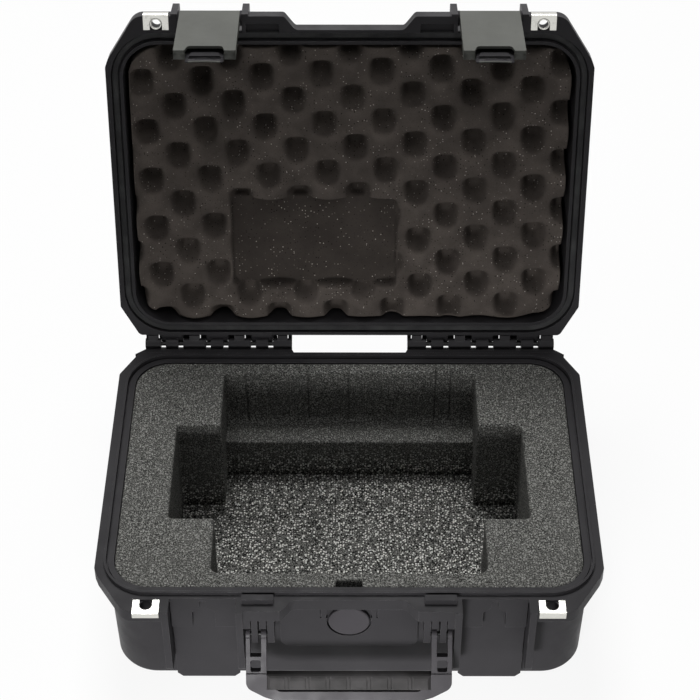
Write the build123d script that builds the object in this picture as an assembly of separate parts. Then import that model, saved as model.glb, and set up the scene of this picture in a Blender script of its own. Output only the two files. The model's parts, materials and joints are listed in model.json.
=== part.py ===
from build123d import *
import math
import os

# Hard carrying case with two pull latches, a folding handle, a pressure valve, padlock guards and
# foam inserts. Millimetres. X runs left to right, Y front to back, Z up. The origin is the centre of
# the base's underside. Each lid piece is drawn with the lid shut and then swung open on the hinge.

# Opening and walls
opening_length = 383.0        # clear opening at the rim, left to right
opening_width = 263.4         # clear opening at the rim, front to back
opening_corner = 30.0         # corner radius of that opening
base_height = 112.0           # underside to rim
lid_height = 52.0             # rim to outer top
wall = 5.6                    # side walls
floor_thickness = 4.0
roof_thickness = 4.0
end_draw = 1.1                # the left and right walls lean in by this much from rim to floor
front_draw = 5.4              # the front and back walls lean in by this much from rim to floor
lid_end_draw = 2.0
lid_front_draw = 4.0
bottom_rounding = 6.0
top_rounding = 7.0

# Rim flange
rim_gap = 0.4                 # shut lid over base rim
end_reach = 9.7               # flange beyond the wall, left and right
front_reach = 8.0             # flange beyond the wall, front and back
flange_height = 12.0
flange_plate = 4.0            # thickness of the flange's top, hollow beneath
flange_skirt = 3.0
rear_corner_back = 29.0       # chamfered rear corners of the flange
rear_corner_in = 16.0
rear_rounding = 5.0

# Latch shelf, the thicker stretch of flange at the front
shelf_reach = 11.9            # beyond the flange's front
shelf_ramp = 9.5              # length of its slanted inner end
shelf_end_in = 27.0           # its outer corner begins this far in from the flange's end
shelf_corner_in = 3.3         # and ends this far in
shelf_corner_back = 37.0
shelf_rounding = 13.0

# Sealing tongue of the base and gasket groove of the lid, as offsets out from the opening
tongue_offset = 7.4           # centre line
tongue_width = 2.0
tongue_height = 3.2
relief_offset = 5.65          # shallow groove inside the tongue
relief_width = 1.5
relief_depth = 2.0
groove_offset = 7.2
groove_width = 7.4
groove_depth = 6.0
gasket_offset = 7.75
gasket_width = 5.7
gasket_thickness = 2.7
gasket_chamfer = 0.8
lid_opening_offset = 0.8

# Hinge
hinge_back = 9.7              # axis behind the flange's rear face
hinge_rise = 1.8              # axis above the base's rim
lid_open_angle = 103.74
hinge_pin_radius = 2.0
knuckle_radius = 5.0
knuckle_end_in = 44.9         # outermost lid knuckle's centre, in from the flange's end
knuckle_pitch = 41.0
lid_knuckles = 3              # each side
lid_knuckle_width = 19.1
lid_wrap_width = 11.2         # the narrower loop round the pin
knuckle_gap = 0.7
hinge_inner_margin = 27.2     # innermost lid knuckle's centre to the end of the barrel
hinge_end_in = 20.8           # outer end of the barrel, in from the flange's end
hinge_web_drop = 10.0         # height of the base's web where it meets the flange
stop_width = 9.0              # tab on each base knuckle that the open lid rests on
stop_gap = 0.3
gusset_outer = 9.0            # the base's hinge web widens towards the flange at its ends
gusset_inner = 3.0
leaf_gap = 0.6                # lid's hinge leaf to the tabs beside it
sweep_clearance = 0.8         # leaf and trough outside what turns about the pin

# Latch bays
latch_in = 89.6               # centre of each latch, in from the flange's end
rib_spacing = 53.7            # clear width between the ribs beside a latch
rib_thickness = 5.5
rib_reach = 21.7              # front edge of the ribs, in front of the wall at the rim
rib_bottom = 37.0
post_top = 143.0
post_rounding = 5.0
rib_rounding = 7.0
landing_reach = 1.2           # flat panel that the latch lies against, in front of the wall
landing_bottom = 5.0
landing_chamfer = 4.5
landing_gap = 0.65            # groove between the landing and each rib
ledge_top_reach = 6.5         # ledge in front of the wall, at the rim
ledge_edge_reach = 8.0        # ledge in front of the wall, at its lower edge
ledge_edge_height = 78.5
ledge_slot_width = 5.5
ledge_slot_top = 109.6
ledge_slot_bottom = 101.2
ledge_pocket_width = 18.4
lid_bay_reach = 3.7           # flange left in front of the wall between the lid posts

# Latch, drawn upright about its pin, outer face to the front
latch_pin_reach = 15.7        # pin in front of the wall at the rim
latch_pin_rise = 7.8          # pin above the base's rim
latch_lean = 6.5              # lean at rest towards the case
latch_width = 50.5
latch_length = 75.0
latch_face = 5.5              # outer face in front of the pin
latch_head = 4.5              # upper end above the pin
latch_barrel = 5.4
latch_skin = 2.4
latch_side = 2.6
latch_depth = 8.2             # outer face to the edge at the free end
latch_pin_radius = 2.0
running_clearance = 0.05
notch_width = 28.0
notch_mouth = 33.0
notch_depth = 8.0

# Trigger in the latch
trigger_pin_drop = 28.0       # below the latch's pin
trigger_pin_inset = 5.0       # behind the latch's outer face
trigger_pin_radius = 1.0
trigger_eye = 2.2
trigger_width = 43.9
trigger_plate_front = 6.7     # behind the latch's outer face
trigger_arm_front = 4.2       # behind the latch's outer face, beside the hooks
hook_reach = 7.9              # behind the latch's outer face
hook_top_drop = 42.45         # below the latch's pin
hook_thickness = 4.0
hook_gap = 21.0               # clear width between the two hooks
lip_width = 25.0
lip_overhang = 1.6            # finger lip beyond the end of the lever's plate
spring_radius = 2.1
spring_width = 9.0

# Handle
handle_pin_reach = 15.2       # pin in front of the wall at the rim
handle_pin_z = 79.0
handle_pin_radius = 2.0
handle_hang = 32.0            # the handle hangs this far out from the wall
handle_side_gap = 1.65        # between the handle's arm and the rib beside the latch
handle_arm_width = 16.6
handle_eye = 5.5
handle_thickness = 9.0
handle_bar_thickness = 11.0
inner_prong_width = 4.2
outer_prong_width = 3.5
fork_depth = 18.2
arm_straight = 44.5           # from the pin to where the arm's outer side turns in
corner_in = 14.9              # outer corner of the handle
corner_along = 52.3
bar_in = 26.6
inner_corner_in = 3.2         # inner corner of the handle
inner_corner_along = 43.2
inner_bar_in = 10.5
inner_bar_along = 47.5
window_near = 21.2            # small window in each arm, from the pin
window_far = 31.0
window_inner_side = 4.7       # arm left beside the window
window_outer_side = 3.7
window_rounding = 1.5
grip_end_gap = 0.4            # grip's end to the arm's inner side
grip_end_chamfer = 2.5
grip_rounding = 5.0           # long inner edges, in flat steps
grip_edge = 0.8
grip_near = 32.7              # from the pin, along the handle
grip_far = 45.7
grip_thickness = 14.0
grip_groove_margin = 16.4     # outermost pair of grooves to the grip's end
grip_grooves = 7
grip_groove_depth = 0.9
handle_reach = 56.2
finger_sides = [              # inner and outer side, in from the arm's outer side; holds the pin
    (4.1, -2.0, False),
    (9.9, 5.0, True),
    (16.7, 11.5, False),
    (23.2, 17.8, True),
]
bracket_block_in = 27.7
bracket_block_out = 2.0
finger_bottom = 71.6
short_finger_bottom = 88.0
finger_rounding = 2.5

# Padlock guards
guard_in = 44.8               # centre of each guard, in from the flange's end
guard_width = 21.2
guard_back_reach = 7.8        # guard's rear edge in front of the wall
guard_hole_reach = 13.0
guard_hole_radius = 5.2
guard_thickness = 1.5
guard_fold = 6.2
guard_clearance = 0.15
guard_proud = 0.1
lid_hole_radius = 4.3
lid_bush_radius = 5.0
boss_radius = 9.5

# Locating keys of the base beside the latches, and their slots in the lid
key_from_latch = 44.1
key_length = 25.5
key_reach = 9.2               # in front of the wall
key_width = 5.8
key_height = 5.0
key_clearance = 1.3

# Pressure valve
valve_z = 77.0
valve_pad_overlap = 0.5       # pad of the front wall, tucked into the handle's brackets
valve_pad_reach = 1.3         # pad in front of the wall at the rim
valve_pad_bottom = 46.0
valve_pad_rounding = 8.0
valve_slot_x = 22.8           # short slot either side of the valve, under the flange
valve_slot_width = 1.2
valve_slot_depth = 1.2
valve_slot_bottom = 81.5
recess_shoulder_out = 0.7     # the cap's recess runs on up to the flange, narrowing
recess_shoulder_in = 1.5
valve_recess_in = 1.9         # recess floor behind the wall at the rim
valve_recess_radius = 18.2
valve_cap_radius = 16.75
valve_cap_thickness = 2.7
valve_cap_chamfer = 0.8
valve_stem_radius = 6.0
valve_seal_radius = 11.0
valve_seal_thickness = 1.0
valve_nut_flats = 18.0
valve_nut_thickness = 4.0
valve_inner_seat_in = 7.9

# Foam
foam_clearance = 0.3
foam_top = 111.3
pad_top = 8.1
pocket_end_wall = 78.8        # foam left of the main pocket, from the opening's end
pocket_front_wall = 16.2      # foam in front of it
pocket_back_wall = 11.8       # foam behind it
pocket_rounding = 8.0
finger_pocket_wall = 40.5     # foam left of the finger pocket, from the opening's end
finger_pocket_from_front = 59.5
finger_pocket_from_back = 66.9
shelf_height = 51.1
shelf_depth = 29.0
foam_notch_half = 10.4
foam_notch_depth = 7.3        # in from the opening's front
foam_notch_floor = 60.0
lid_foam_gap = 2.5            # beside the foam, all round
lid_foam_recess = 0.6         # below the lid's rim
crate_pitch = 51.2            # pit to pit along a row of the egg-crate face
crate_row = 22.9              # row to row, each offset by half a pitch
crate_turn = -2.9             # how far the rows are turned from the case's length
crate_x = 7.2                 # one pit's place in the shut case
crate_y = -38.4
crate_pit_depth = 19.0
crate_mouth = 15.0            # half the width of a pit at the face
crate_bottom = 6.0
crate_border = 2.0            # plain edge outside the outermost pits
crate_rows = 8
crate_corner_share = 1.88     # no pit where the foam's corner rounds off
pit_corner_size = 1.2         # the four sides that cut off a pit's corners
lid_pocket_length = 146.0
lid_pocket_width = 85.0
lid_pocket_x = -31.5
lid_pocket_y = 53.0
lid_pocket_depth = 16.0
lid_pocket_rounding = 6.0

# Worked out from the sizes above
rim_z = base_height
lid_rim_z = base_height + rim_gap
lid_top_z = lid_rim_z + lid_height
tub_length = opening_length + 2 * wall
tub_width = opening_width + 2 * wall
tub_corner = opening_corner + wall
flange_x = tub_length / 2 + end_reach
flange_y = tub_width / 2 + front_reach
shelf_y = flange_y + shelf_reach
hinge_y = flange_y + hinge_back
hinge_z = rim_z + hinge_rise
latch_pin_z = rim_z + latch_pin_rise
wall_front = tub_width / 2

shelf_end = flange_x - shelf_end_in
shelf_corner_x = flange_x - shelf_corner_in
hinge_outer_end = flange_x - hinge_end_in
first_knuckle = flange_x - knuckle_end_in - (lid_knuckles - 1) * knuckle_pitch
hinge_inner_end = first_knuckle - hinge_inner_margin

latch_x = flange_x - latch_in
rib_front = wall_front + rib_reach
landing_front = wall_front + landing_reach
ledge_top_front = wall_front + ledge_top_reach
ledge_edge_front = wall_front + ledge_edge_reach
lid_bay_floor = wall_front + lid_bay_reach
latch_pin_y = -(wall_front + latch_pin_reach)

handle_pin_y = -(wall_front + handle_pin_reach)
handle_arm_outer = latch_x - rib_spacing / 2 - rib_thickness - handle_side_gap
handle_arm_inner = handle_arm_outer - handle_arm_width
handle_inner_prong = handle_arm_inner + inner_prong_width
handle_outer_prong = handle_arm_outer - outer_prong_width
grip_half = handle_arm_inner - grip_end_gap
grip_groove_pitch = (grip_half - grip_groove_margin) / ((grip_grooves - 1) / 2)
bracket_block_inner = handle_arm_outer - bracket_block_in
shelf_full = bracket_block_inner - valve_pad_overlap
shelf_start = shelf_full - shelf_ramp
finger_front = shelf_y

guard_x = flange_x - guard_in
guard_back = wall_front + guard_back_reach
guard_hole_y = wall_front + guard_hole_reach
key_x = latch_x - key_from_latch
key_y = wall_front + key_reach

valve_pad_half = bracket_block_inner + valve_pad_overlap
valve_pad_front = wall_front + valve_pad_reach
valve_recess_floor = wall_front - valve_recess_in
valve_inner_seat = wall_front - valve_inner_seat_in

pocket_half = opening_length / 2 - pocket_end_wall
pocket_front = opening_width / 2 - pocket_front_wall
pocket_back = opening_width / 2 - pocket_back_wall
finger_pocket_half = opening_length / 2 - finger_pocket_wall
finger_pocket_front = pocket_front - finger_pocket_from_front
finger_pocket_back = pocket_back - finger_pocket_from_back
shelf_front = pocket_back - shelf_depth
foam_notch_back = opening_width / 2 - foam_notch_depth
beyond = 2 * (opening_length + opening_width)     # far outside the case, for trimming blocks
TINY = 0.01


def box(x0, x1, y0, y1, z0, z1):
    """Block between two corners."""
    low = (min(x0, x1), min(y0, y1), min(z0, z1))
    size = (abs(x1 - x0), abs(y1 - y0), abs(z1 - z0))
    return Pos(low[0], low[1], low[2]) * Box(*size, align=(Align.MIN, Align.MIN, Align.MIN))


def rod(radius, x0, x1, y, z):
    """Round bar along X."""
    length = abs(x1 - x0)
    return Pos((x0 + x1) / 2, y, z) * Rot(0, 90, 0) * Cylinder(radius, length)


def side_profile(points, x0, x1, radii=0.0):
    """Outline given as (y, z) points, carried from x0 to x1."""
    low, high = min(x0, x1), max(x0, x1)
    outline = FilletPolyline(*[(y, z) for y, z in points], radius=radii, close=True)
    face = Plane.YZ * make_face(outline)
    return Pos(low, 0, 0) * extrude(face, high - low, dir=(1, 0, 0))


def front_profile(face, y_front, y_back):
    """Flat outline given in x and z, carried from y_front back to y_back."""
    turned = Plane((0, y_back, 0), x_dir=(1, 0, 0), z_dir=(0, -1, 0)) * face
    return extrude(turned, y_back - y_front, dir=(0, -1, 0))


def swing(shape, y, z, angle):
    """Turn a shape about the left-to-right line through (y, z)."""
    return Pos(0, y, z) * Rot(angle, 0, 0) * Pos(0, -y, -z) * shape


def opened(shape):
    """Carry a piece of the shut lid to where the open lid holds it."""
    return swing(shape, hinge_y, hinge_z, -lid_open_angle)


def mirrored(shape):
    """The same piece on the right-hand side."""
    return mirror(shape, about=Plane.YZ)


def both(shape):
    """A left-hand feature and its mirror image."""
    return [shape, mirrored(shape)]


def rounded(length, width, corner):
    return RectangleRounded(length, width, corner)


def opening_face(offset_out):
    """The opening's outline, grown by an offset."""
    grow = 2 * offset_out
    return rounded(opening_length + grow, opening_width + grow, opening_corner + offset_out)


def ring(centre_offset, width, z, height):
    """Band that follows the opening all the way round."""
    face = opening_face(centre_offset + width / 2) - opening_face(centre_offset - width / 2)
    return Pos(0, 0, z) * extrude(face, height)


def flange_face():
    """Outline of the flange, with the latch shelf at the front and chamfered rear corners."""
    shelf_corner_y = -shelf_y + shelf_corner_back
    right = [
        (shelf_start, -flange_y, 6.0),
        (shelf_full, -shelf_y, 4.0),
        (shelf_end, -shelf_y, shelf_rounding),
        (shelf_corner_x, shelf_corner_y, shelf_rounding),
        (flange_x, shelf_corner_y + 8, 6.0),
        (flange_x, flange_y - rear_corner_back, rear_rounding),
        (flange_x - rear_corner_in, flange_y, rear_rounding),
    ]
    points = [(x, y) for x, y, r in right] + [(-x, y) for x, y, r in reversed(right)]
    radii = [r for x, y, r in right] + [r for x, y, r in reversed(right)]
    return make_face(FilletPolyline(*points, radius=radii, close=True))


def tub(length, width, corner, ends_in, sides_in, z_rim, z_far):
    """Rounded block whose walls lean in: what four blocks share that each slant towards one corner."""
    rim = Pos(0, 0, z_rim) * rounded(length, width, corner)
    block = None
    for x in (-ends_in, ends_in):
        for y in (-sides_in, sides_in):
            slant = Vector(x, y, z_far - z_rim)
            slanted = extrude(rim, slant.length, dir=slant)
            block = slanted if block is None else block & slanted
    return block


def stepped(block, z_end, radius):
    """Round the edge all round one end in three flat steps, tangent to the radius."""
    first = radius * (1 - math.tan(math.radians(22.5)))
    second = radius * (math.tan(math.radians(22.5)) - math.tan(math.radians(11.25)))
    block = chamfer(block.edges().group_by(Axis.Z)[z_end], first)
    flat = block.faces().filter_by(Axis.Z).sort_by(Axis.Z)[z_end]
    block = chamfer(flat.edges(), second)
    side_edges = [e for e in block.edges() if abs(abs(e.center().Z - flat.center().Z) - first) < second]
    return chamfer(side_edges, second)


def base_tub(inset, z_low):
    """The base's outside, or its inside when inset by the wall."""
    share = (rim_z - z_low) / rim_z
    return tub(tub_length - 2 * inset, tub_width - 2 * inset, tub_corner - inset,
               end_draw * share, front_draw * share, rim_z, z_low)


def lid_tub(inset, z_high):
    """The lid's outside, or its inside when inset."""
    share = (z_high - lid_rim_z) / lid_height
    return tub(tub_length - 2 * inset, tub_width - 2 * inset, tub_corner - inset,
               lid_end_draw * share, lid_front_draw * share, lid_rim_z, z_high)


def outer_wall_y(z):
    """How far forward the base's front wall stands at a height."""
    return tub_width / 2 - front_draw * (rim_z - z) / rim_z


def base_knuckle_spans():
    """Left and right ends of the base knuckles, from the middle outwards."""
    spans = []
    start = hinge_inner_end
    for i in range(lid_knuckles):
        centre = first_knuckle + i * knuckle_pitch
        spans.append((start, centre - lid_knuckle_width / 2 - knuckle_gap))
        start = centre + lid_knuckle_width / 2 + knuckle_gap
    spans.append((start, hinge_outer_end))
    return spans


def base_knuckle(x0, x1):
    """Barrel on the base with its web to the flange and the tab that the open lid rests on."""
    web = side_profile([
        (flange_y - 2, rim_z - hinge_web_drop), (flange_y - 2, rim_z - 0.6),
        (hinge_y, rim_z - 0.6), (hinge_y + knuckle_radius * 0.8, hinge_z - knuckle_radius * 0.6),
    ], x0, x1)
    barrel = rod(knuckle_radius, x0, x1, hinge_y, hinge_z)
    middle = (x0 + x1) / 2
    reach = hinge_back - stop_gap
    tab = side_profile([
        (hinge_y, hinge_z - 3), (hinge_y - reach + 0.5, hinge_z - 2),
        (hinge_y - reach, hinge_z), (hinge_y - reach, hinge_z + 6.5),
        (hinge_y - 4, hinge_z + 6), (hinge_y, hinge_z + 3.5),
    ], middle - stop_width / 2, middle + stop_width / 2)
    knuckle = web + barrel + opened(tab)
    return knuckle - rod(hinge_pin_radius + running_clearance, x0 - 1, x1 + 1, hinge_y, hinge_z)


def lid_knuckle(centre):
    """Wide web of the lid with a narrower loop round the pin."""
    half = lid_knuckle_width / 2
    loop_half = lid_wrap_width / 2
    web = side_profile([
        (flange_y - 2, lid_rim_z + 0.6), (flange_y - 2, lid_rim_z + 10.5),
        (flange_y + 2, lid_rim_z + 10.5), (hinge_y - 0.5, hinge_z + knuckle_radius),
        (hinge_y - 0.5, hinge_z + hinge_pin_radius + 0.5),
        (hinge_y - 4, hinge_z + 1.2), (flange_y + 2, lid_rim_z + 0.6),
    ], centre - half, centre + half)
    loop = rod(knuckle_radius, centre - loop_half, centre + loop_half, hinge_y, hinge_z)
    bore = rod(hinge_pin_radius + running_clearance, centre - half - 1, centre + half + 1, hinge_y, hinge_z)
    return web + loop - bore


def hinge_trough():
    """Web of the base that passes under the lid's loops, so that no gap shows between the knuckles."""
    clear = knuckle_radius + sweep_clearance
    top = rim_z - 0.6
    return side_profile([
        (flange_y - 2, rim_z - hinge_web_drop), (flange_y - 2, top), (hinge_y - clear - 0.3, top),
        (hinge_y - clear * 0.75, hinge_z - clear * 0.9), (hinge_y, hinge_z - clear - 0.2),
        (hinge_y + 2.5, hinge_z - clear - 1.0), (hinge_y + 2.5, hinge_z - clear - 2.6),
    ], -hinge_outer_end, -hinge_inner_end)


def hinge_gussets():
    """Wedges that widen the base's hinge web towards the flange at both ends."""
    gussets = []
    for end, reach in ((-hinge_outer_end, -gusset_outer), (-hinge_inner_end, gusset_inner)):
        inside = end - math.copysign(1.0, reach)
        plan = FilletPolyline((inside, flange_y - 2), (inside, hinge_y - knuckle_radius),
                              (end, hinge_y - knuckle_radius), (end + reach, flange_y - 2),
                              radius=0, close=True)
        gussets.append(Pos(0, 0, rim_z - hinge_web_drop) * extrude(make_face(plan), hinge_web_drop - 0.6))
    return gussets


def hinge_leaf():
    """Strips of the lid that reach over the base's barrels either side of each tab."""
    clear = knuckle_radius + sweep_clearance
    line = [(flange_y - 2, hinge_z + clear), (flange_y - 2, lid_rim_z + 10.5),
            (flange_y + 2, lid_rim_z + 10.5),
            (hinge_y - 0.5, hinge_z + clear + 1.9), (hinge_y + 0.6, hinge_z + clear + 0.5),
            (hinge_y + 0.6, hinge_z + clear)]
    strips = []
    for x0, x1 in base_knuckle_spans():
        middle = (x0 + x1) / 2
        tab = stop_width / 2 + leaf_gap
        low = x0 if x0 == hinge_inner_end else x0 - knuckle_gap
        high = x1 if x1 == hinge_outer_end else x1 + knuckle_gap
        strips.append(side_profile(line, -middle + tab, -low))
        strips.append(side_profile(line, -high, -middle - tab))
    return strips


def latch_ribs(bottom, rounding, top=False):
    """The two ribs that stand either side of one latch: down the base, or up the lid."""
    inner = rib_spacing / 2
    spans = [(-latch_x - inner - rib_thickness, -latch_x - inner),
             (-latch_x + inner, -latch_x + inner + rib_thickness)]
    if top:
        root = tub_width / 2 - wall / 2 - lid_front_draw
        points = [(-root, lid_rim_z), (-rib_front, lid_rim_z), (-rib_front, bottom), (-root, bottom + 6)]
    else:
        root = outer_wall_y(bottom) - wall / 2
        points = [(-root, rim_z), (-rib_front, rim_z), (-rib_front + 0.4, bottom), (-root, bottom - 5)]
    return [side_profile(points, a, b, [0, 0, rounding, 0]) for a, b in spans]


def latch_bay(z_low, z_high, floor_y):
    """Room for a latch cut through the flange between its ribs."""
    half = rib_spacing / 2
    return box(-latch_x - half, -latch_x + half, -rib_front - 5, -floor_y, z_low, z_high)


def latch_landing():
    """Panel behind the latch, with the ledge that its hooks catch and a bottle-shaped pocket."""
    half = rib_spacing / 2 - landing_gap
    root = outer_wall_y(0) - wall / 2
    panel_outline = FilletPolyline(
        (-half, landing_bottom + landing_chamfer), (-half + landing_chamfer, landing_bottom),
        (half - landing_chamfer, landing_bottom), (half, landing_bottom + landing_chamfer),
        (half, rim_z), (-half, rim_z), radius=0, close=True)
    panel = front_profile(Pos(-latch_x, 0) * make_face(panel_outline), -landing_front, -root)
    ledge = side_profile([
        (-landing_front + 1, rim_z), (-ledge_top_front, rim_z),
        (-ledge_edge_front, ledge_edge_height), (-landing_front + 1, ledge_edge_height),
    ], -latch_x - half, -latch_x + half)
    pocket = ledge_pocket_width / 2
    slot = ledge_slot_width / 2
    bottle = FilletPolyline(
        (-pocket, ledge_edge_height - 5), (pocket, ledge_edge_height - 5),
        (pocket, ledge_slot_bottom - 5), (slot, ledge_slot_bottom), (slot, ledge_slot_top),
        (-slot, ledge_slot_top), (-slot, ledge_slot_bottom), (-pocket, ledge_slot_bottom - 5),
        radius=[0, 0, 3, 2, 1.5, 1.5, 2, 3], close=True)
    cut = front_profile(Pos(-latch_x, 0) * make_face(bottle), -ledge_edge_front - 2, -landing_front)
    return panel + (ledge - cut)


def bracket_finger(inner, outer, is_long):
    """One of the plates under the latch shelf that carry the handle's pin."""
    root = outer_wall_y(handle_pin_z) - wall / 2
    top = rim_z - flange_plate + 1
    if is_long:
        points = [(-root, top), (-finger_front, top), (-finger_front, finger_bottom),
                  (-finger_front + 7.5, finger_bottom), (-root, finger_bottom + 12)]
        radii = [0, 0, finger_rounding, finger_rounding, 0]
    else:
        points = [(-root, top), (-finger_front, top), (-finger_front, short_finger_bottom),
                  (-root, short_finger_bottom + 5)]
        radii = [0, 0, finger_rounding, 0]
    finger = side_profile(points, -outer, -inner, radii)
    if is_long:
        finger -= rod(handle_pin_radius + running_clearance, -outer - 1, -inner + 1,
                      handle_pin_y, handle_pin_z)
    return finger


def padlock_guard(z_face, fold_direction):
    """Folded plate with a notch for a padlock's shackle; the fold runs down or up from the rim."""
    width = guard_width / 2
    front = shelf_y + guard_thickness + guard_clearance
    flat_low = z_face if fold_direction > 0 else z_face - guard_thickness
    plate = box(-guard_x - width, -guard_x + width, -front, -guard_back, flat_low, flat_low + guard_thickness)
    fold_far = z_face + fold_direction * guard_fold
    fold = box(-guard_x - width, -guard_x + width, -front, -front + guard_thickness, z_face, fold_far)
    hole = Pos(-guard_x, -guard_hole_y, z_face) * Cylinder(guard_hole_radius, 20)
    way = box(-guard_x - guard_hole_radius, -guard_x + guard_hole_radius, -guard_hole_y, -guard_back + 1,
              z_face - 10, z_face + 10)
    blank = plate + fold
    bend = blank.edges().filter_by(Axis.X).group_by(Axis.Y)[0]
    bend = bend.sort_by(Axis.Z)[-1] if fold_direction < 0 else bend.sort_by(Axis.Z)[0]
    return fillet(bend, guard_thickness * 0.9) - hole - way


def guard_seat(z_face, direction):
    """Recess in the flange that the guard lies in, flush with the rim."""
    width = guard_width / 2 + guard_clearance
    depth = guard_thickness
    far = z_face + direction * depth
    return box(-guard_x - width, -guard_x + width, -shelf_y - 5, -guard_back + guard_clearance,
               z_face - direction * 5, far)


def valve_pad():
    """Flat pad between the handle's brackets, with rounded lower corners."""
    top = rim_z - flange_height + 1
    outline = FilletPolyline(
        (-valve_pad_half, valve_pad_bottom), (valve_pad_half, valve_pad_bottom), (valve_pad_half, top),
        (-valve_pad_half, top), radius=[valve_pad_rounding, valve_pad_rounding, 0, 0], close=True)
    root = outer_wall_y(valve_pad_bottom) - wall / 2
    return front_profile(make_face(outline), -valve_pad_front, -root)


def base_shell():
    """Tub with its flange, sealing tongue, latch bays, handle bracket and hinge knuckles."""
    outside = base_tub(0, 0)
    outside = stepped(outside, 0, bottom_rounding)
    flange = Pos(0, 0, rim_z - flange_height) * extrude(flange_face(), flange_height)
    hollow_face = offset(flange_face(), amount=-flange_skirt)
    hollow = Pos(0, 0, rim_z - flange_height - 1) * extrude(hollow_face, flange_height - flange_plate + 1)
    hollow -= box(-beyond, beyond, -beyond, beyond, -1, rim_z - flange_height - 0.5)
    flange -= hollow - outside
    shell = outside + flange

    for side in both(latch_bay(rim_z - flange_height - 1, rim_z + 5, ledge_top_front)):
        shell -= side
    bracket_block = box(-handle_arm_outer - bracket_block_out, -bracket_block_inner,
                        -finger_front, -wall_front + 2, rim_z - flange_height, rim_z)
    boss = Pos(-guard_x, -guard_hole_y, rim_z - flange_height / 2) * Cylinder(boss_radius, flange_height)
    boss -= box(-guard_x - 20, -guard_x + 20, -shelf_y - 20, -shelf_y, 0, lid_top_z)
    key = box(-key_x - key_length / 2, -key_x + key_length / 2,
              -key_y - key_width / 2, -key_y + key_width / 2, rim_z - 1, rim_z + key_height)
    features = latch_ribs(rib_bottom, rib_rounding) + [latch_landing(), bracket_block, boss]
    for a, b, pinned in finger_sides:
        features.append(bracket_finger(handle_arm_outer - a, handle_arm_outer - b, pinned))
    features += [base_knuckle(-b, -a) for a, b in base_knuckle_spans()]
    features += [key, hinge_trough()] + hinge_gussets()
    for feature in features:
        shell += feature
        shell += mirrored(feature)
    shell += valve_pad()
    shell -= base_tub(wall, floor_thickness)
    shell += ring(tongue_offset, tongue_width, rim_z - TINY, tongue_height + TINY)
    shell -= ring(relief_offset, relief_width, rim_z - relief_depth, relief_depth + 1)

    guard_hole = Pos(-guard_x, -guard_hole_y, rim_z) * Cylinder(guard_hole_radius, 5 * flange_height)
    for cut in both(guard_seat(rim_z + guard_proud, -1)) + both(guard_hole):
        shell -= cut
    shell -= facing_front(valve_recess_radius, -valve_pad_front - 2, -valve_recess_floor)
    top = rim_z - flange_height
    low, high = valve_recess_radius + recess_shoulder_out, valve_recess_radius - recess_shoulder_in
    shoulder = make_face(FilletPolyline(
        (-low, valve_slot_bottom), (low, valve_slot_bottom), (high, top), (-high, top), radius=0, close=True))
    shell -= front_profile(shoulder, -valve_pad_front - 2, -valve_recess_floor)
    slot = box(-valve_slot_x - valve_slot_width / 2, -valve_slot_x + valve_slot_width / 2,
               -valve_pad_front - 2, -valve_pad_front + valve_slot_depth, valve_slot_bottom, top)
    for cut in both(slot):
        shell -= cut
    shell -= facing_front(valve_stem_radius + running_clearance, -valve_pad_front, -valve_inner_seat + 5)
    return shell - facing_front(valve_nut_flats / 2 + 3.5, -valve_inner_seat, -valve_inner_seat + 6)


def lid_shell():
    """Cover with its flange, gasket groove, latch posts and hinge knuckles, drawn shut."""
    outside = lid_tub(0, lid_top_z)
    outside = stepped(outside, -1, top_rounding)
    flange = Pos(0, 0, lid_rim_z) * extrude(flange_face(), flange_height)
    shell = outside + flange
    for side in both(latch_bay(lid_rim_z - 1, lid_rim_z + flange_height + 1, lid_bay_floor)):
        shell -= side
    features = latch_ribs(post_top, post_rounding, top=True)
    pin = rod(latch_pin_radius + running_clearance, -latch_x - 40, -latch_x + 40, latch_pin_y, latch_pin_z)
    for i in range(lid_knuckles):
        features.append(lid_knuckle(-first_knuckle - i * knuckle_pitch))
    features += hinge_leaf()
    for feature in features:
        shell += feature
        shell += mirrored(feature)

    shell -= lid_tub(wall - lid_opening_offset, lid_top_z - roof_thickness)
    for side in both(pin):
        shell -= side
    shell -= ring(groove_offset, groove_width, lid_rim_z - 1, groove_depth + 1)
    key_slot = box(-key_x - key_length / 2 - key_clearance, -key_x + key_length / 2 + key_clearance,
               -key_y - key_width / 2 - key_clearance, -key_y + key_width / 2 + key_clearance,
               lid_rim_z - 1, lid_rim_z + key_height + key_clearance)
    for cut in both(key_slot) + both(guard_seat(lid_rim_z, 1)):
        shell -= cut
    bush = Pos(-guard_x, -guard_hole_y, lid_rim_z) * Cylinder(
        lid_bush_radius, guard_thickness + 1, align=(Align.CENTER, Align.CENTER, Align.MIN))
    hole = Pos(-guard_x, -guard_hole_y, lid_rim_z) * Cylinder(lid_hole_radius, 5 * flange_height)
    for add_on, cut in zip(both(bush), both(hole)):
        shell += add_on
        shell -= cut
    return shell


def lid_gasket():
    """Soft ring at the bottom of the lid's groove."""
    z_low = lid_rim_z + groove_depth - gasket_thickness
    gasket = ring(gasket_offset, gasket_width, z_low, gasket_thickness)
    return chamfer(gasket.edges().group_by(Axis.Z)[0], gasket_chamfer)


def latch_place(shape, x):
    """Stand a latch piece, drawn about its pin, in the shut lid at its resting lean."""
    stood = Pos(x, latch_pin_y, latch_pin_z) * Rot(latch_lean, 0, 0) * shape
    return stood


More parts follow.
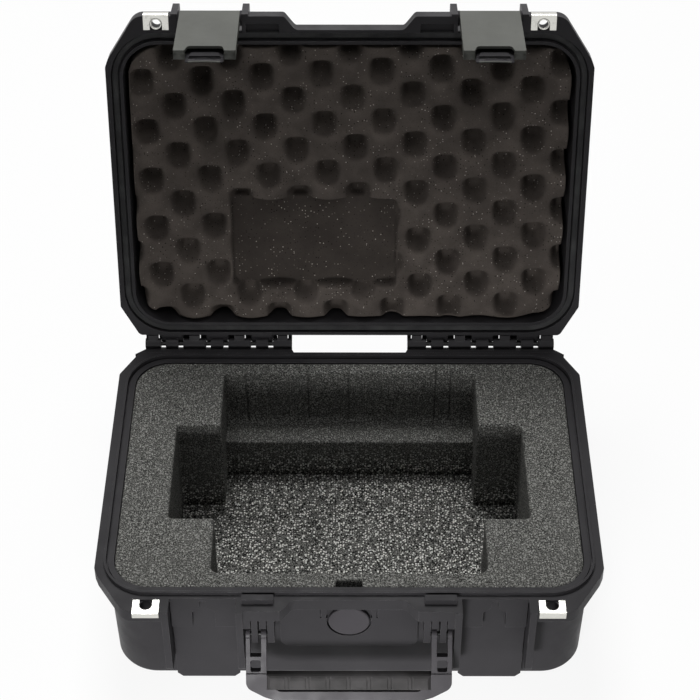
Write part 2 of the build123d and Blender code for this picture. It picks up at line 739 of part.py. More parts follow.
def latch():
    """Hollow pull latch: skin, side walls, barrel round the pin and a finger notch."""
    half = latch_width / 2
    face = -latch_face
    low = latch_head - latch_length
    edge = face + latch_depth
    skin = side_profile([
        (face, latch_head - 1.5), (face, low), (face + latch_skin, low),
        (face + latch_skin, latch_head - 1.5)], -half, half)
    barrel = rod(latch_barrel, -half, half, 0, 0) & box(-half, half, face, 20, -20, latch_head)
    shoulder = side_profile([(face, 0), (face, latch_head), (0, latch_head), (0, 0)],
                            -half, half, [0, 2.0, 0, 0])
    wall_line = [
        (face, 2), (face, low), (edge, low), (edge, low + 22), (0.2, low + 25.5), (0.2, low + 32.5),
        (1.9, low + 38.5), (2.4, low + 48), (4.2, low + 61), (4.2, low + 70)]
    body = skin + barrel + shoulder
    for side in (-1, 1):
        body += side_profile(wall_line, side * half, side * (half - latch_side))
    body -= rod(latch_pin_radius + running_clearance, -half - 1, half + 1, 0, 0)
    body -= rod(trigger_pin_radius + running_clearance, -half + 0.6, half - 0.6,
                face + trigger_pin_inset, -trigger_pin_drop)
    mouth, root = notch_mouth / 2, notch_width / 2
    notch = FilletPolyline(
        (-mouth, low - 1), (mouth, low - 1), (root, low + notch_depth), (-root, low + notch_depth),
        radius=[0, 0, 3.5, 3.5], close=True)
    body -= front_profile(make_face(notch), face - 1, face + latch_skin + 0.5)
    return body


def trigger():
    """Release lever: eyes on its pin, two hooks for the base's ledge and a finger lip at the notch."""
    half = trigger_width / 2
    face = -latch_face
    pin_y = face + trigger_pin_inset
    low = latch_head - latch_length + 0.5
    back = face + latch_depth
    plate_front = face + trigger_plate_front
    hook_back = face + hook_reach
    top = -hook_top_drop
    arm = trigger_eye - 0.5
    side_line = [
        (pin_y - arm, -trigger_pin_drop), (face + trigger_arm_front, top + 1.5),
        (plate_front, top - hook_thickness), (plate_front, low + lip_overhang), (back, low + lip_overhang),
        (back, top - hook_thickness - 0.6), (hook_back, top - hook_thickness),
        (hook_back, top), (pin_y + 1.1, top), (pin_y + 1.1, -trigger_pin_drop)]
    body = side_profile(side_line, -half, half)
    body += rod(trigger_eye, -half, half, pin_y, -trigger_pin_drop)
    body -= box(-hook_gap / 2, hook_gap / 2, plate_front + 0.3, 10, top - hook_thickness + 1.0, top + 5)
    body -= box(-spring_width / 2 - 0.4, spring_width / 2 + 0.4, -10, 10,
                -trigger_pin_drop - spring_radius - 2, -trigger_pin_drop + 6)
    lip = Pos(0, 0) * make_face(FilletPolyline(
        (-lip_width / 2, low), (lip_width / 2, low), (lip_width / 2 - 1.5, low + 6.5),
        (-lip_width / 2 + 1.5, low + 6.5), radius=[0, 0, 2.5, 2.5], close=True))
    body += front_profile(lip, plate_front - 1.6, back)
    return body - rod(trigger_pin_radius + running_clearance, -half - 1, half + 1, pin_y, -trigger_pin_drop)


def trigger_pin():
    half = latch_width / 2 - 0.6
    return rod(trigger_pin_radius, -half, half, -latch_face + trigger_pin_inset, -trigger_pin_drop)


def trigger_spring():
    """Coil round the trigger's pin, drawn as a sleeve."""
    y = -latch_face + trigger_pin_inset
    sleeve = rod(spring_radius, -spring_width / 2, spring_width / 2, y, -trigger_pin_drop)
    return sleeve - rod(trigger_pin_radius + 0.25, -spring_width, spring_width, y, -trigger_pin_drop)


def handle_outline():
    """Outline of the handle seen flat: two arms and the outer bar, hanging down from the pin."""
    outer = [(handle_arm_outer, 0, 0), (handle_arm_outer, arm_straight, 8),
             (handle_arm_outer - corner_in, corner_along, 12), (handle_arm_outer - bar_in, handle_reach, 10)]
    inner = [(handle_arm_inner, 0, 0), (handle_arm_inner, grip_near, 4),
             (handle_arm_inner - inner_corner_in, inner_corner_along, 6),
             (handle_arm_inner - inner_bar_in, inner_bar_along, 4)]
    points = [(x, -a) for x, a, r in outer] + [(-x, -a) for x, a, r in reversed(outer)]
    radii = [r for x, a, r in outer] + [r for x, a, r in reversed(outer)]
    points += [(-x, -a) for x, a, r in inner] + [(x, -a) for x, a, r in reversed(inner)]
    radii += [r for x, a, r in inner] + [r for x, a, r in reversed(inner)]
    return make_face(FilletPolyline(*points, radius=radii, close=True))


def handle_frame():
    """Handle drawn hanging straight down about its pin: forked arms with windows, and the bar."""
    half = handle_thickness / 2
    frame = front_profile(handle_outline(), -half, half)
    bar = front_profile(handle_outline(), -handle_bar_thickness / 2, handle_bar_thickness / 2)
    frame += bar & box(-beyond, beyond, -beyond, beyond, -beyond, -grip_near)
    for side in (-1, 1):
        for a, b in ((handle_outer_prong, handle_arm_outer), (handle_arm_inner, handle_inner_prong)):
            frame += rod(handle_eye, side * a, side * b, 0, 0)
        frame -= box(side * handle_inner_prong, side * handle_outer_prong, -handle_eye * 2, handle_eye * 2,
                     -fork_depth, handle_eye * 2)
        a, b = handle_arm_inner + window_inner_side, handle_arm_outer - window_outer_side
        window = make_face(FilletPolyline(
            (a, -window_far), (b, -window_far), (b, -window_near), (a, -window_near),
            radius=window_rounding, close=True))
        window = window if side > 0 else mirror(window, about=Plane.YZ)
        frame -= front_profile(window, -handle_eye * 2, handle_eye * 2)
    bore = rod(handle_pin_radius + running_clearance, -beyond, beyond, 0, 0)
    return frame - bore - grip_blank()


def grip_blank():
    """Room in the frame that the soft grip fills."""
    return box(-grip_half, grip_half, -20, 20, -grip_far, -grip_near + 5)


def handle_grip():
    """Soft grip with rounded edges and pairs of grooves across it."""
    half = grip_thickness / 2
    turns = [math.radians(angle) for angle in (0, 22.5, 45, 67.5, 90)]
    upper = [(half - grip_rounding * (1 - math.cos(a)), -grip_near - grip_rounding * (1 - math.sin(a)))
             for a in turns]
    lower = [(half - grip_edge, -grip_far), (half, -grip_far + grip_edge)]
    right = lower + upper
    grip = side_profile(right + [(-y, z) for y, z in reversed(right)], -grip_half, grip_half)
    end, side = grip_half - grip_end_chamfer, half - grip_end_chamfer
    right = [(end, -half), (grip_half, -side), (grip_half, side), (end, half)]
    plan = FilletPolyline(*right, *[(-x, y) for x, y in reversed(right)], radius=0, close=True)
    grip &= Pos(0, 0, -grip_far) * extrude(make_face(plan), grip_far)
    for i in range(grip_grooves):
        x = (i - (grip_grooves - 1) / 2) * grip_groove_pitch
        for step in (-1.5, 1.5):
            for side in (-1, 1):
                floor = side * (half - grip_groove_depth)
                grip -= box(x + step - 0.7, x + step + 0.7, min(floor, side * (half + 1)),
                            max(floor, side * (half + 1)), -grip_far - 1, -grip_near + 1)
    return grip


def handle_place(shape):
    """Hang a handle piece from its pin at its resting angle."""
    return Pos(0, handle_pin_y, handle_pin_z) * Rot(-handle_hang, 0, 0) * shape


def facing_front(shape_radius, y_front, y_back):
    """Disc across Y between two depths, at the valve."""
    middle = Pos(0, (y_front + y_back) / 2, valve_z)
    return middle * Rot(90, 0, 0) * Cylinder(shape_radius, abs(y_back - y_front))


def valve_cap():
    """Round cap of the pressure valve, its face bare, with a finger-width dish."""
    back = -valve_recess_floor - valve_seal_thickness
    cap = facing_front(valve_cap_radius, back - valve_cap_thickness, back)
    cap = chamfer(cap.edges().filter_by(GeomType.CIRCLE).sort_by(Axis.Y)[0], valve_cap_chamfer)
    return cap - facing_front(valve_stem_radius + running_clearance, back - valve_cap_thickness / 2, back + 1)


def valve_body():
    back = -valve_recess_floor - valve_seal_thickness
    return facing_front(valve_stem_radius, back - valve_cap_thickness / 2,
                        -valve_inner_seat + valve_nut_thickness + 0.5)


def valve_seal():
    floor = -valve_recess_floor
    seal = facing_front(valve_seal_radius, floor - valve_seal_thickness, floor)
    return seal - facing_front(valve_stem_radius + running_clearance, floor - 5, floor + 5)


def valve_nut():
    hexagon = RegularPolygon(valve_nut_flats / 2, 6, major_radius=False)
    nut = Pos(0, -valve_inner_seat, valve_z) * Rot(-90, 0, 0) * extrude(hexagon, valve_nut_thickness)
    return nut - facing_front(valve_stem_radius + running_clearance,
                              -valve_inner_seat - 20, -valve_inner_seat + 20)


def base_foam_blank(z_low, z_high):
    """Inside of the base between two heights, less the foam's clearance."""
    inside = base_tub(wall + foam_clearance, floor_thickness + foam_clearance)
    return inside & box(-beyond, beyond, -beyond, beyond, z_low, z_high)


def base_foam():
    """Foam block with the main pocket, finger pockets at its sides and a shelf at the back."""
    block = base_foam_blank(pad_top, foam_top)
    corner = pocket_rounding
    main = FilletPolyline(
        (-pocket_half, -pocket_front), (pocket_half, -pocket_front), (pocket_half, shelf_front),
        (-pocket_half, shelf_front), radius=[corner, corner, 0, 0], close=True)
    block -= extrude(make_face(main), rim_z + 10)
    block -= box(-pocket_half, pocket_half, shelf_front - 1, pocket_back, shelf_height, rim_z + 10)
    block -= box(-finger_pocket_half, finger_pocket_half, -finger_pocket_front, finger_pocket_back,
                 0, rim_z + 10)
    notch = box(-foam_notch_half, foam_notch_half, -foam_notch_back, -tub_width, foam_notch_floor, rim_z + 10)
    return block - notch


def base_foam_pad():
    """Thin pad on the floor, under the foam block."""
    return base_foam_blank(0, pad_top)


def crate_pit():
    """One tapered pit with eight flat sides, opening downwards from the shut lid's foam."""
    pit = None
    for size, turn in ((1, 0), (1, 90), (pit_corner_size, 45), (pit_corner_size, 135)):
        mouth, bottom = crate_mouth * size, crate_bottom * size
        wedge = side_profile([(-mouth, 0), (mouth, 0), (bottom, crate_pit_depth), (-bottom, crate_pit_depth)],
                             -crate_pitch, crate_pitch)
        wedge = Rot(0, 0, turn) * wedge
        pit = wedge if pit is None else pit & wedge
    return pit


def crate_places():
    """Pit centres in turned rows, each row offset by half a pitch; whole pits only."""
    turn = math.radians(crate_turn)
    reach_x = opening_length / 2 - crate_mouth - crate_border
    reach_y = opening_width / 2 - crate_mouth - crate_border
    places = []
    for row in range(-crate_rows, crate_rows + 1):
        for column in range(-crate_rows, crate_rows + 1):
            along = (column + (row % 2) / 2) * crate_pitch
            across = row * crate_row
            x = crate_x + along * math.cos(turn) - across * math.sin(turn)
            y = crate_y + along * math.sin(turn) + across * math.cos(turn)
            in_pocket = (abs(x - lid_pocket_x) < lid_pocket_length / 2 - crate_bottom
                         and abs(y - lid_pocket_y) < lid_pocket_width / 2 - crate_bottom)
            in_corner = abs(x) / reach_x + abs(y) / reach_y > crate_corner_share
            if abs(x) < reach_x and abs(y) < reach_y and not in_pocket and not in_corner:
                places.append((x, y))
    return places


def lid_foam():
    """Foam sheet of the lid with its flat recess, drawn shut."""
    z_low = lid_rim_z + lid_foam_recess
    inside = lid_tub(wall - lid_opening_offset + lid_foam_gap, lid_top_z - roof_thickness - foam_clearance)
    sheet = inside & box(-beyond, beyond, -beyond, beyond, z_low, lid_top_z)
    pocket = Pos(lid_pocket_x, lid_pocket_y, z_low - 1) * extrude(
        rounded(lid_pocket_length, lid_pocket_width, lid_pocket_rounding), lid_pocket_depth + 1)
    core = Pos(lid_pocket_x, lid_pocket_y, z_low - 1) * extrude(
        rounded(lid_pocket_length, lid_pocket_width, lid_pocket_rounding), lid_foam_recess + crate_pit_depth)
    pit = crate_pit()
    sheet -= [Pos(x, y, z_low) * pit - core for x, y in crate_places()]
    return sheet - pocket


def write(name, shape):
    """Save one node's solid."""
    export_step(shape, f"parts/{name}.step")


def write_pair(name, shape):
    """Save a left-hand piece and its mirror image."""
    write(name + "_left", shape)
    write(name + "_right", mirrored(shape))


def main():
    os.makedirs("parts", exist_ok=True)
    write("base_shell", base_shell())
    write("lid_shell", opened(lid_shell()))
    write("lid_gasket", opened(lid_gasket()))
    pin_end = 0.4
    write_pair("hinge_pin", rod(hinge_pin_radius, -hinge_outer_end + pin_end, -hinge_inner_end - pin_end,
                                hinge_y, hinge_z))
    write_pair("latch", opened(latch_place(latch(), -latch_x)))
    write_pair("latch_trigger", opened(latch_place(trigger(), -latch_x)))
    write_pair("trigger_pin", opened(latch_place(trigger_pin(), -latch_x)))
    write_pair("trigger_spring", opened(latch_place(trigger_spring(), -latch_x)))
    reach = rib_spacing / 2 + rib_thickness - 0.2
    write_pair("latch_pin", opened(rod(latch_pin_radius, -latch_x - reach, -latch_x + reach,
                                       latch_pin_y, latch_pin_z)))
    write("handle_frame", handle_place(handle_frame()))
    write("handle_grip", handle_place(handle_grip()))
    pin_inner = handle_arm_outer - finger_sides[-1][0] + 0.3
    write_pair("handle_pin", rod(handle_pin_radius, -handle_arm_outer, -pin_inner,
                                 handle_pin_y, handle_pin_z))
    write("valve_cap", valve_cap())
    write("valve_body", valve_body())
    write("valve_seal", valve_seal())
    write("valve_nut", valve_nut())
    write_pair("padlock_guard_base", padlock_guard(rim_z + guard_proud, -1))
    write_pair("padlock_guard_lid", opened(padlock_guard(lid_rim_z, 1)))
    write("base_foam", base_foam())
    write("base_foam_pad", base_foam_pad())
    write("lid_foam", opened(lid_foam()))


main()
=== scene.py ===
"""Looks for a hard carrying case with a foam set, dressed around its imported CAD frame.

Lengths are in metres, X to the right, Y to the back and Z up, with the floor at Z = 0.
"""

from __future__ import annotations

import json
import logging
import math
from dataclasses import dataclass, replace
from enum import Enum
from typing import Callable, ClassVar, Sequence

import bpy
import numpy as np
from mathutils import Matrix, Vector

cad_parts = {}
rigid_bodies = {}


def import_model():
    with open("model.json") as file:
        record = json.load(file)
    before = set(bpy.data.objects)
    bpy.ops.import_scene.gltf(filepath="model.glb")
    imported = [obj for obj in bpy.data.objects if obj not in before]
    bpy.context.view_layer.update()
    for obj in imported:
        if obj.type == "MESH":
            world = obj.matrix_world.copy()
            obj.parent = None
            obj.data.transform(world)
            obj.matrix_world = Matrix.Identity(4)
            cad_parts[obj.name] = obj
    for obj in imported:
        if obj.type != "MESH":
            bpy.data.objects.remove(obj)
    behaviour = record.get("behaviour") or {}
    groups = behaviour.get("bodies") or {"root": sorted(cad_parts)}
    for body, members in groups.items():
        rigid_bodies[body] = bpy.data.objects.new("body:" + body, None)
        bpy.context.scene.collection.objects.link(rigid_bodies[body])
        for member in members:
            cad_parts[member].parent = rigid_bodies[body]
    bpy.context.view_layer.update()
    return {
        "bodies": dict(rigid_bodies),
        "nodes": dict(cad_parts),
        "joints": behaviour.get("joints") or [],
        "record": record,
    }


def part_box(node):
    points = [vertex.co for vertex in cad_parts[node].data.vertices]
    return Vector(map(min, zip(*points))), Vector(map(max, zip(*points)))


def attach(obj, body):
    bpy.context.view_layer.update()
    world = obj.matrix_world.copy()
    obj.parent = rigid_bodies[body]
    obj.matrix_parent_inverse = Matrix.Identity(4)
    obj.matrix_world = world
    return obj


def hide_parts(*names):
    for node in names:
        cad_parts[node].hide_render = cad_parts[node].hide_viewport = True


LOG = logging.getLogger("case")
MM = 0.001
Tone = tuple[float, float, float]
Place = Sequence[float]
Socket = bpy.types.NodeSocket


def tone(red: int, green: int, blue: int) -> Tone:
    """Turns an 8-bit display colour into the linear colour that a shader reads.

    By the display curve, a dark channel is divided by 12.92 and any other is a power of 2.4.

    Args:
        red: Red from 0 to 255.
        green: Green from 0 to 255.
        blue: Blue from 0 to 255.

    Returns:
        The three linear values.
    """
    shares = (value / 255.0 for value in (red, green, blue))
    return tuple(share / 12.92 if share <= 0.04045 else ((share + 0.055) / 1.055) ** 2.4
                 for share in shares)


def dimmed(colour: Tone, factor: float) -> Tone:
    """The colour times a factor."""
    return tuple(factor * value for value in colour)


def smooth(share: np.ndarray) -> np.ndarray:
    """A smooth step: three times the share squared, less twice the share cubed."""
    return share * share * (3 - 2 * share)


# ---------------------------------------------------------------- finishes


class Step(Enum):
    """An arithmetic step, by Blender's name for it."""

    ADD = "ADD"
    MULTIPLY = "MULTIPLY"
    MAXIMUM = "MAXIMUM"
    GREATER_THAN = "GREATER_THAN"


@dataclass(frozen=True)
class Specks:
    """How round dots are strewn, one in some of the cells of a random pattern."""

    spacing: float
    radius: float
    kept: float


class NodeSheet:
    """A node tree, with methods for what both materials and the world need."""

    def __init__(self, tree: bpy.types.NodeTree) -> None:
        """Works on the given tree."""
        self.nodes, self.links = tree.nodes, tree.links

    def feed(self, socket: Socket, value: object) -> None:
        """Sets a socket to a number, vector or colour, or links another socket to it.

        Args:
            socket: The socket.
            value: The other socket, or the value, which has three channels where it is a colour.
        """
        if isinstance(value, Socket):
            self.links.new(value, socket)
        else:
            socket.default_value = (*value, 1.0) if socket.type == "RGBA" else value

    def add(self, kind: str, inputs: dict[str | int, object], output: str | int,
            **settings: object) -> Socket:
        """Adds one node.

        Args:
            kind: Blender's name for the node.
            inputs: What each input gets, by the input's name or number.
            output: Name or number of the output that is wanted.
            settings: The node's own settings.

        Returns:
            The output.
        """
        node = self.nodes.new(kind)
        for name, setting in settings.items():
            setattr(node, name, setting)
        for name, value in inputs.items():
            self.feed(node.inputs[name], value)
        return node.outputs[output]

    def step(self, kind: Step, first: object, second: object, clamp: bool = False) -> Socket:
        """Works one value out of two.

        Args:
            kind: The arithmetic step.
            first: First value.
            second: Second value.
            clamp: Whether the result is held between 0 and 1.

        Returns:
            The result.
        """
        return self.add("ShaderNodeMath", {0: first, 1: second}, 0,
                        operation=kind.value, use_clamp=clamp)

    def is_seen(self) -> Socket:
        """1 for what the camera sees itself, in a reflection or through something clear.

        Returns:
            The sum of the three kinds of ray, held at 1.
        """
        rays = self.nodes.new("ShaderNodeLightPath").outputs
        total = rays["Is Camera Ray"]
        for name in ("Is Glossy Ray", "Is Transmission Ray"):
            total = self.step(Step.ADD, total, rays[name], clamp=True)
        return total


class FinishSheet(NodeSheet):
    """One material's node tree, with a method for each step of a finish.

    The three numbers are those of the Mix node's sockets for colours.
    """

    MIX_BELOW, MIX_ABOVE, MIX_RESULT = 6, 7, 2

    def __init__(self, name: str) -> None:
        """Starts a material that reads Object coordinates.

        Args:
            name: The material's name.
        """
        self.material = bpy.data.materials.new(name)
        self.material.use_nodes = True
        super().__init__(self.material.node_tree)
        self.place = self.nodes.new("ShaderNodeTexCoord").outputs["Object"]

    def finished(self, sockets: dict[str, object]) -> bpy.types.Material:
        """Feeds the shader.

        Args:
            sockets: What each of the shader's inputs gets, by its name.

        Returns:
            The material.
        """
        shader = self.nodes["Principled BSDF"]
        for name, value in sockets.items():
            self.feed(shader.inputs[name], value)
        return self.material

    def stretched(self, scale: Place) -> Socket:
        """Object coordinates, multiplied along each axis by the scale."""
        return self.add("ShaderNodeMapping", {"Vector": self.place, "Scale": scale}, "Vector")

    def noise(self, size: float, detail: float = 3.0, rough: float = 0.55,
              where: Socket | None = None) -> Socket:
        """Soft noise.

        Args:
            size: Size of its largest patches in metres.
            detail: Octaves of finer noise.
            rough: Strength of the finer octaves.
            where: Coordinates to read instead of Object coordinates.

        Returns:
            A value around one half.
        """
        return self.add("ShaderNodeTexNoise", {
            "Vector": where or self.place, "Scale": 1.0 / size, "Detail": detail,
            "Roughness": rough}, "Fac")

    def cells(self, size: float) -> Socket:
        """Distance to the middle of the nearest random cell.

        Args:
            size: Size of a cell in metres.

        Returns:
            The distance in cells.
        """
        return self.add("ShaderNodeTexVoronoi", {"Vector": self.place, "Scale": 1.0 / size},
                        "Distance")

    def specks(self, dots: Specks) -> Socket:
        """Small round dots.

        A dot is where the distance to the cell's middle is under the radius, and a cell has one
        where its random colour's red is above the share that is left empty.

        Args:
            dots: Size of the cells, radius of a dot, and share of the cells that has one.

        Returns:
            1 in a dot and 0 outside.
        """
        distance = self.cells(dots.spacing)
        red = self.add("ShaderNodeSeparateColor", {"Color": distance.node.outputs["Color"]}, "Red")
        share = dots.radius / dots.spacing
        return self.step(Step.MULTIPLY, self.spread(distance, 1.3 * share, 0.7 * share),
                         self.step(Step.GREATER_THAN, red, 1.0 - dots.kept))

    def spread(self, value: object, low: float, high: float, out_low: float = 0.0,
               out_high: float = 1.0) -> Socket:
        """Maps low..high smoothly onto out_low..out_high and holds the ends.

        Args:
            value: The value to map.
            low: Where the mapping starts.
            high: Where the mapping ends.
            out_low: Result at low.
            out_high: Result at high.

        Returns:
            The mapped value.
        """
        return self.add("ShaderNodeMapRange", {
            "Value": value, "From Min": low, "From Max": high, "To Min": out_low,
            "To Max": out_high}, "Result", interpolation_type="SMOOTHSTEP")

    def drift(self, size: float, low: float = 0.0, high: float = 1.0) -> Socket:
        """A slow change between low and high, over patches of the given size in metres."""
        return self.spread(self.noise(size, 4.0), 0.3, 0.7, low, high)

    def over(self, share: object, below: Socket | Tone, above: Tone) -> Socket:
        """Lays one colour over another.

        Args:
            share: How much of the upper colour shows.
            below: The colour beneath.
            above: The colour on top.

        Returns:
            The blended colour.
        """
        return self.add("ShaderNodeMix", {
            "Factor": share, self.MIX_BELOW: below, self.MIX_ABOVE: above},
            self.MIX_RESULT, data_type="RGBA")

    def soft_edge(self, radius: float) -> Socket:
        """The normal of the surface with its edges rounded by radius."""
        return self.add("ShaderNodeBevel", {"Radius": radius}, "Normal", samples=4)

    def edge_share(self, rounded: Socket) -> Socket:
        """How near an edge a point is, from the angle between the rounded and the true normal.

        Args:
            rounded: The rounded normal.

        Returns:
            0 on a flat and towards 1 on an edge.
        """
        true_normal = self.add("ShaderNodeNewGeometry", {}, "Normal")
        cosine = self.add("ShaderNodeVectorMath", {0: rounded, 1: true_normal}, "Value",
                          operation="DOT_PRODUCT")
        return self.spread(cosine, 0.995, 0.8)

    def bump(self, height: object, depth: float, normal: Socket | None = None) -> Socket:
        """Relief on the surface.

        Args:
            height: Height from 0 to 1.
            depth: What a height of 1 is, in metres.
            normal: Normal that the relief is laid on.

        Returns:
            The new normal.
        """
        under = {} if normal is None else {"Normal": normal}
        return self.add("ShaderNodeBump", {"Distance": depth, "Height": height, **under}, "Normal")


@dataclass(frozen=True)
class MouldedPlastic:
    """Injection-moulded plastic with a fine eroded grain, paler along its edges: partly wear and
    partly painted highlight lines.
    """

    name: str
    body: Tone
    worn_and_highlight: Tone
    roughness: tuple[float, float] = (0.4, 0.55)
    grain: float = 0.6 * MM
    grain_depth: float = 0.03 * MM
    edge_radius: float = 0.6 * MM
    pale_edge_strength: float = 0.5
    specular: float = 0.15
    drift_size: float = 60 * MM
    drift_range: tuple[float, float] = (0.9, 1.08)
    edge_patch_size: float = 9 * MM
    handled_size: float = 25 * MM

    def material(self) -> bpy.types.Material:
        """Colour drifts by a few percent, the grain breaks up the gloss, and edges are paler in
        patches, partly wear and partly painted highlight.

        Returns:
            The material.
        """
        sheet = FinishSheet(self.name)
        rounded = sheet.soft_edge(self.edge_radius)
        body = sheet.over(sheet.drift(self.drift_size),
                          *(dimmed(self.body, factor) for factor in self.drift_range))
        edge_patches = sheet.spread(sheet.noise(self.edge_patch_size, 5.0, 0.65), 0.38, 0.62, 0.25, 1.0)
        # Paler edges in patches: partly wear, partly painted highlight lines along the edges.
        worn_and_highlight = sheet.step(Step.MULTIPLY, sheet.edge_share(rounded), edge_patches)
        handled = sheet.noise(self.handled_size, 5.0, 0.6)
        grain = sheet.step(Step.ADD, sheet.noise(self.grain, 2.0), sheet.cells(1.3 * self.grain))
        return sheet.finished({
            "Base Color": sheet.over(sheet.step(Step.MULTIPLY, worn_and_highlight, self.pale_edge_strength), body, self.worn_and_highlight),
            "Roughness": sheet.spread(handled, 0.35, 0.65, *self.roughness),
            "Specular IOR Level": self.specular,
            "Normal": sheet.bump(grain, self.grain_depth, rounded)})


@dataclass(frozen=True)
class SoftRubber:
    """Dull rubber with a fine skin, a little paler where it is rubbed."""

    name: str
    body: Tone
    rubbed: Tone
    roughness: tuple[float, float] = (0.62, 0.8)
    pore: float = 0.35 * MM
    pore_depth: float = 0.03 * MM
    edge_radius: float = 0.4 * MM
    specular: float = 0.12
    drift_size: float = 18 * MM
    drift_share: float = 0.35
    pale_edge_strength: float = 0.8
    dust_size: float = 8 * MM

    def material(self) -> bpy.types.Material:
        """Fine pores over a slow drift of colour, paler at the edges.

        Returns:
            The material.
        """
        sheet = FinishSheet(self.name)
        rounded = sheet.soft_edge(self.edge_radius)
        drift = sheet.drift(self.drift_size, 0.0, self.drift_share)
        edge = sheet.step(Step.MULTIPLY, sheet.edge_share(rounded), self.pale_edge_strength)
        rubbed = sheet.step(Step.MAXIMUM, edge, drift)
        return sheet.finished({
            "Base Color": sheet.over(rubbed, self.body, self.rubbed),
            "Roughness": sheet.drift(self.dust_size, *self.roughness),
            "Specular IOR Level": self.specular,
            "Normal": sheet.bump(sheet.noise(self.pore, 3.0), self.pore_depth, rounded)})


@dataclass(frozen=True)
class BrushedStainless:
    """Stainless steel with fine brush lines along X and a few handling marks."""

    name: str
    body: Tone = tone(212, 211, 205)
    dull: Tone = tone(140, 139, 135)
    roughness: tuple[float, float] = (0.16, 0.34)
    line: float = 0.25 * MM
    line_depth: float = 0.01 * MM
    line_stretch: float = 60.0
    mark_size: float = 6 * MM
    edge_radius: float = 0.25 * MM

    def material(self) -> bpy.types.Material:
        """Noise drawn out along X makes the lines in the gloss and the relief.

        Returns:
            The material.
        """
        sheet = FinishSheet(self.name)
        rounded = sheet.soft_edge(self.edge_radius)
        along = sheet.stretched((1 / self.line_stretch, 1.0, 1.0))
        lines = sheet.noise(self.line, 4.0, 0.6, along)
        marks = sheet.spread(sheet.noise(self.mark_size, 6.0, 0.7), 0.55, 0.75, 0.0, 0.6)
        return sheet.finished({
            "Base Color": sheet.over(marks, self.body, self.dull),
            "Metallic": 1.0,
            "Roughness": sheet.spread(lines, 0.3, 0.7, *self.roughness),
            "Normal": sheet.bump(lines, self.line_depth, rounded)})


@dataclass(frozen=True)
class SpeckledFoam:
    """Cut closed-cell foam: pale cells on the crests and dark cells in the dips of its relief,
    partly painted light and shade, torn open more towards the floor.
    """

    name: str
    dark: Tone
    body: Tone
    pale: Tone
    glint: Tone
    cell: float = 1.0 * MM
    cell_depth: float = 0.35 * MM
    whole_above: float = 50 * MM
    torn_below: float = 12 * MM
    least_torn: float = 0.25
    fine_share: float = 0.6
    hole_shade_specks: Specks = Specks(2.0 * MM, 0.85 * MM, 0.7)
    hole_shade_dim: float = 0.25
    glints: Specks = Specks(2.2 * MM, 0.8 * MM, 0.6)
    drift_size: float = 45 * MM
    drift_share: float = 0.4
    drift_dim: float = 0.8
    roughness: float = 0.92
    specular: float = 0.05

    def material(self) -> bpy.types.Material:
        """Two sizes of cell decide the speckle, and the same cells are pits in the surface, so the
        dark speckle in the pits is partly painted shade.

        Returns:
            The material.
        """
        sheet = FinishSheet(self.name)
        height = sheet.add("ShaderNodeSeparateXYZ", {"Vector": sheet.place}, "Z")
        torn = sheet.spread(height, self.whole_above, self.torn_below, self.least_torn, 1.0)
        coarse = sheet.noise(self.cell, 2.0, 0.7)
        fine = sheet.step(Step.MULTIPLY, sheet.cells(self.fine_share * self.cell), self.fine_share)
        drift = sheet.drift(self.drift_size, 0.0, self.drift_share)
        colour = sheet.over(drift, self.body, dimmed(self.body, self.drift_dim))
        # Dark where the coarse cells dip and pale where they rise: the foam's speckle, partly
        # painted shade and light.
        colour = sheet.over(sheet.spread(coarse, 0.48, 0.38), colour, self.dark)
        colour = sheet.over(sheet.spread(coarse, 0.53, 0.61), colour, self.pale)
        # Dark specks are painted shade in holes, and pale specks are painted glints.
        hollow = dimmed(self.dark, self.hole_shade_dim)
        for dots, above in ((self.hole_shade_specks, hollow), (self.glints, self.glint)):
            colour = sheet.over(sheet.step(Step.MULTIPLY, sheet.specks(dots), torn), colour, above)
        return sheet.finished({
            "Base Color": colour,
            "Roughness": self.roughness,
            "Specular IOR Level": self.specular,
            "Normal": sheet.bump(sheet.step(Step.ADD, coarse, fine), self.cell_depth)})


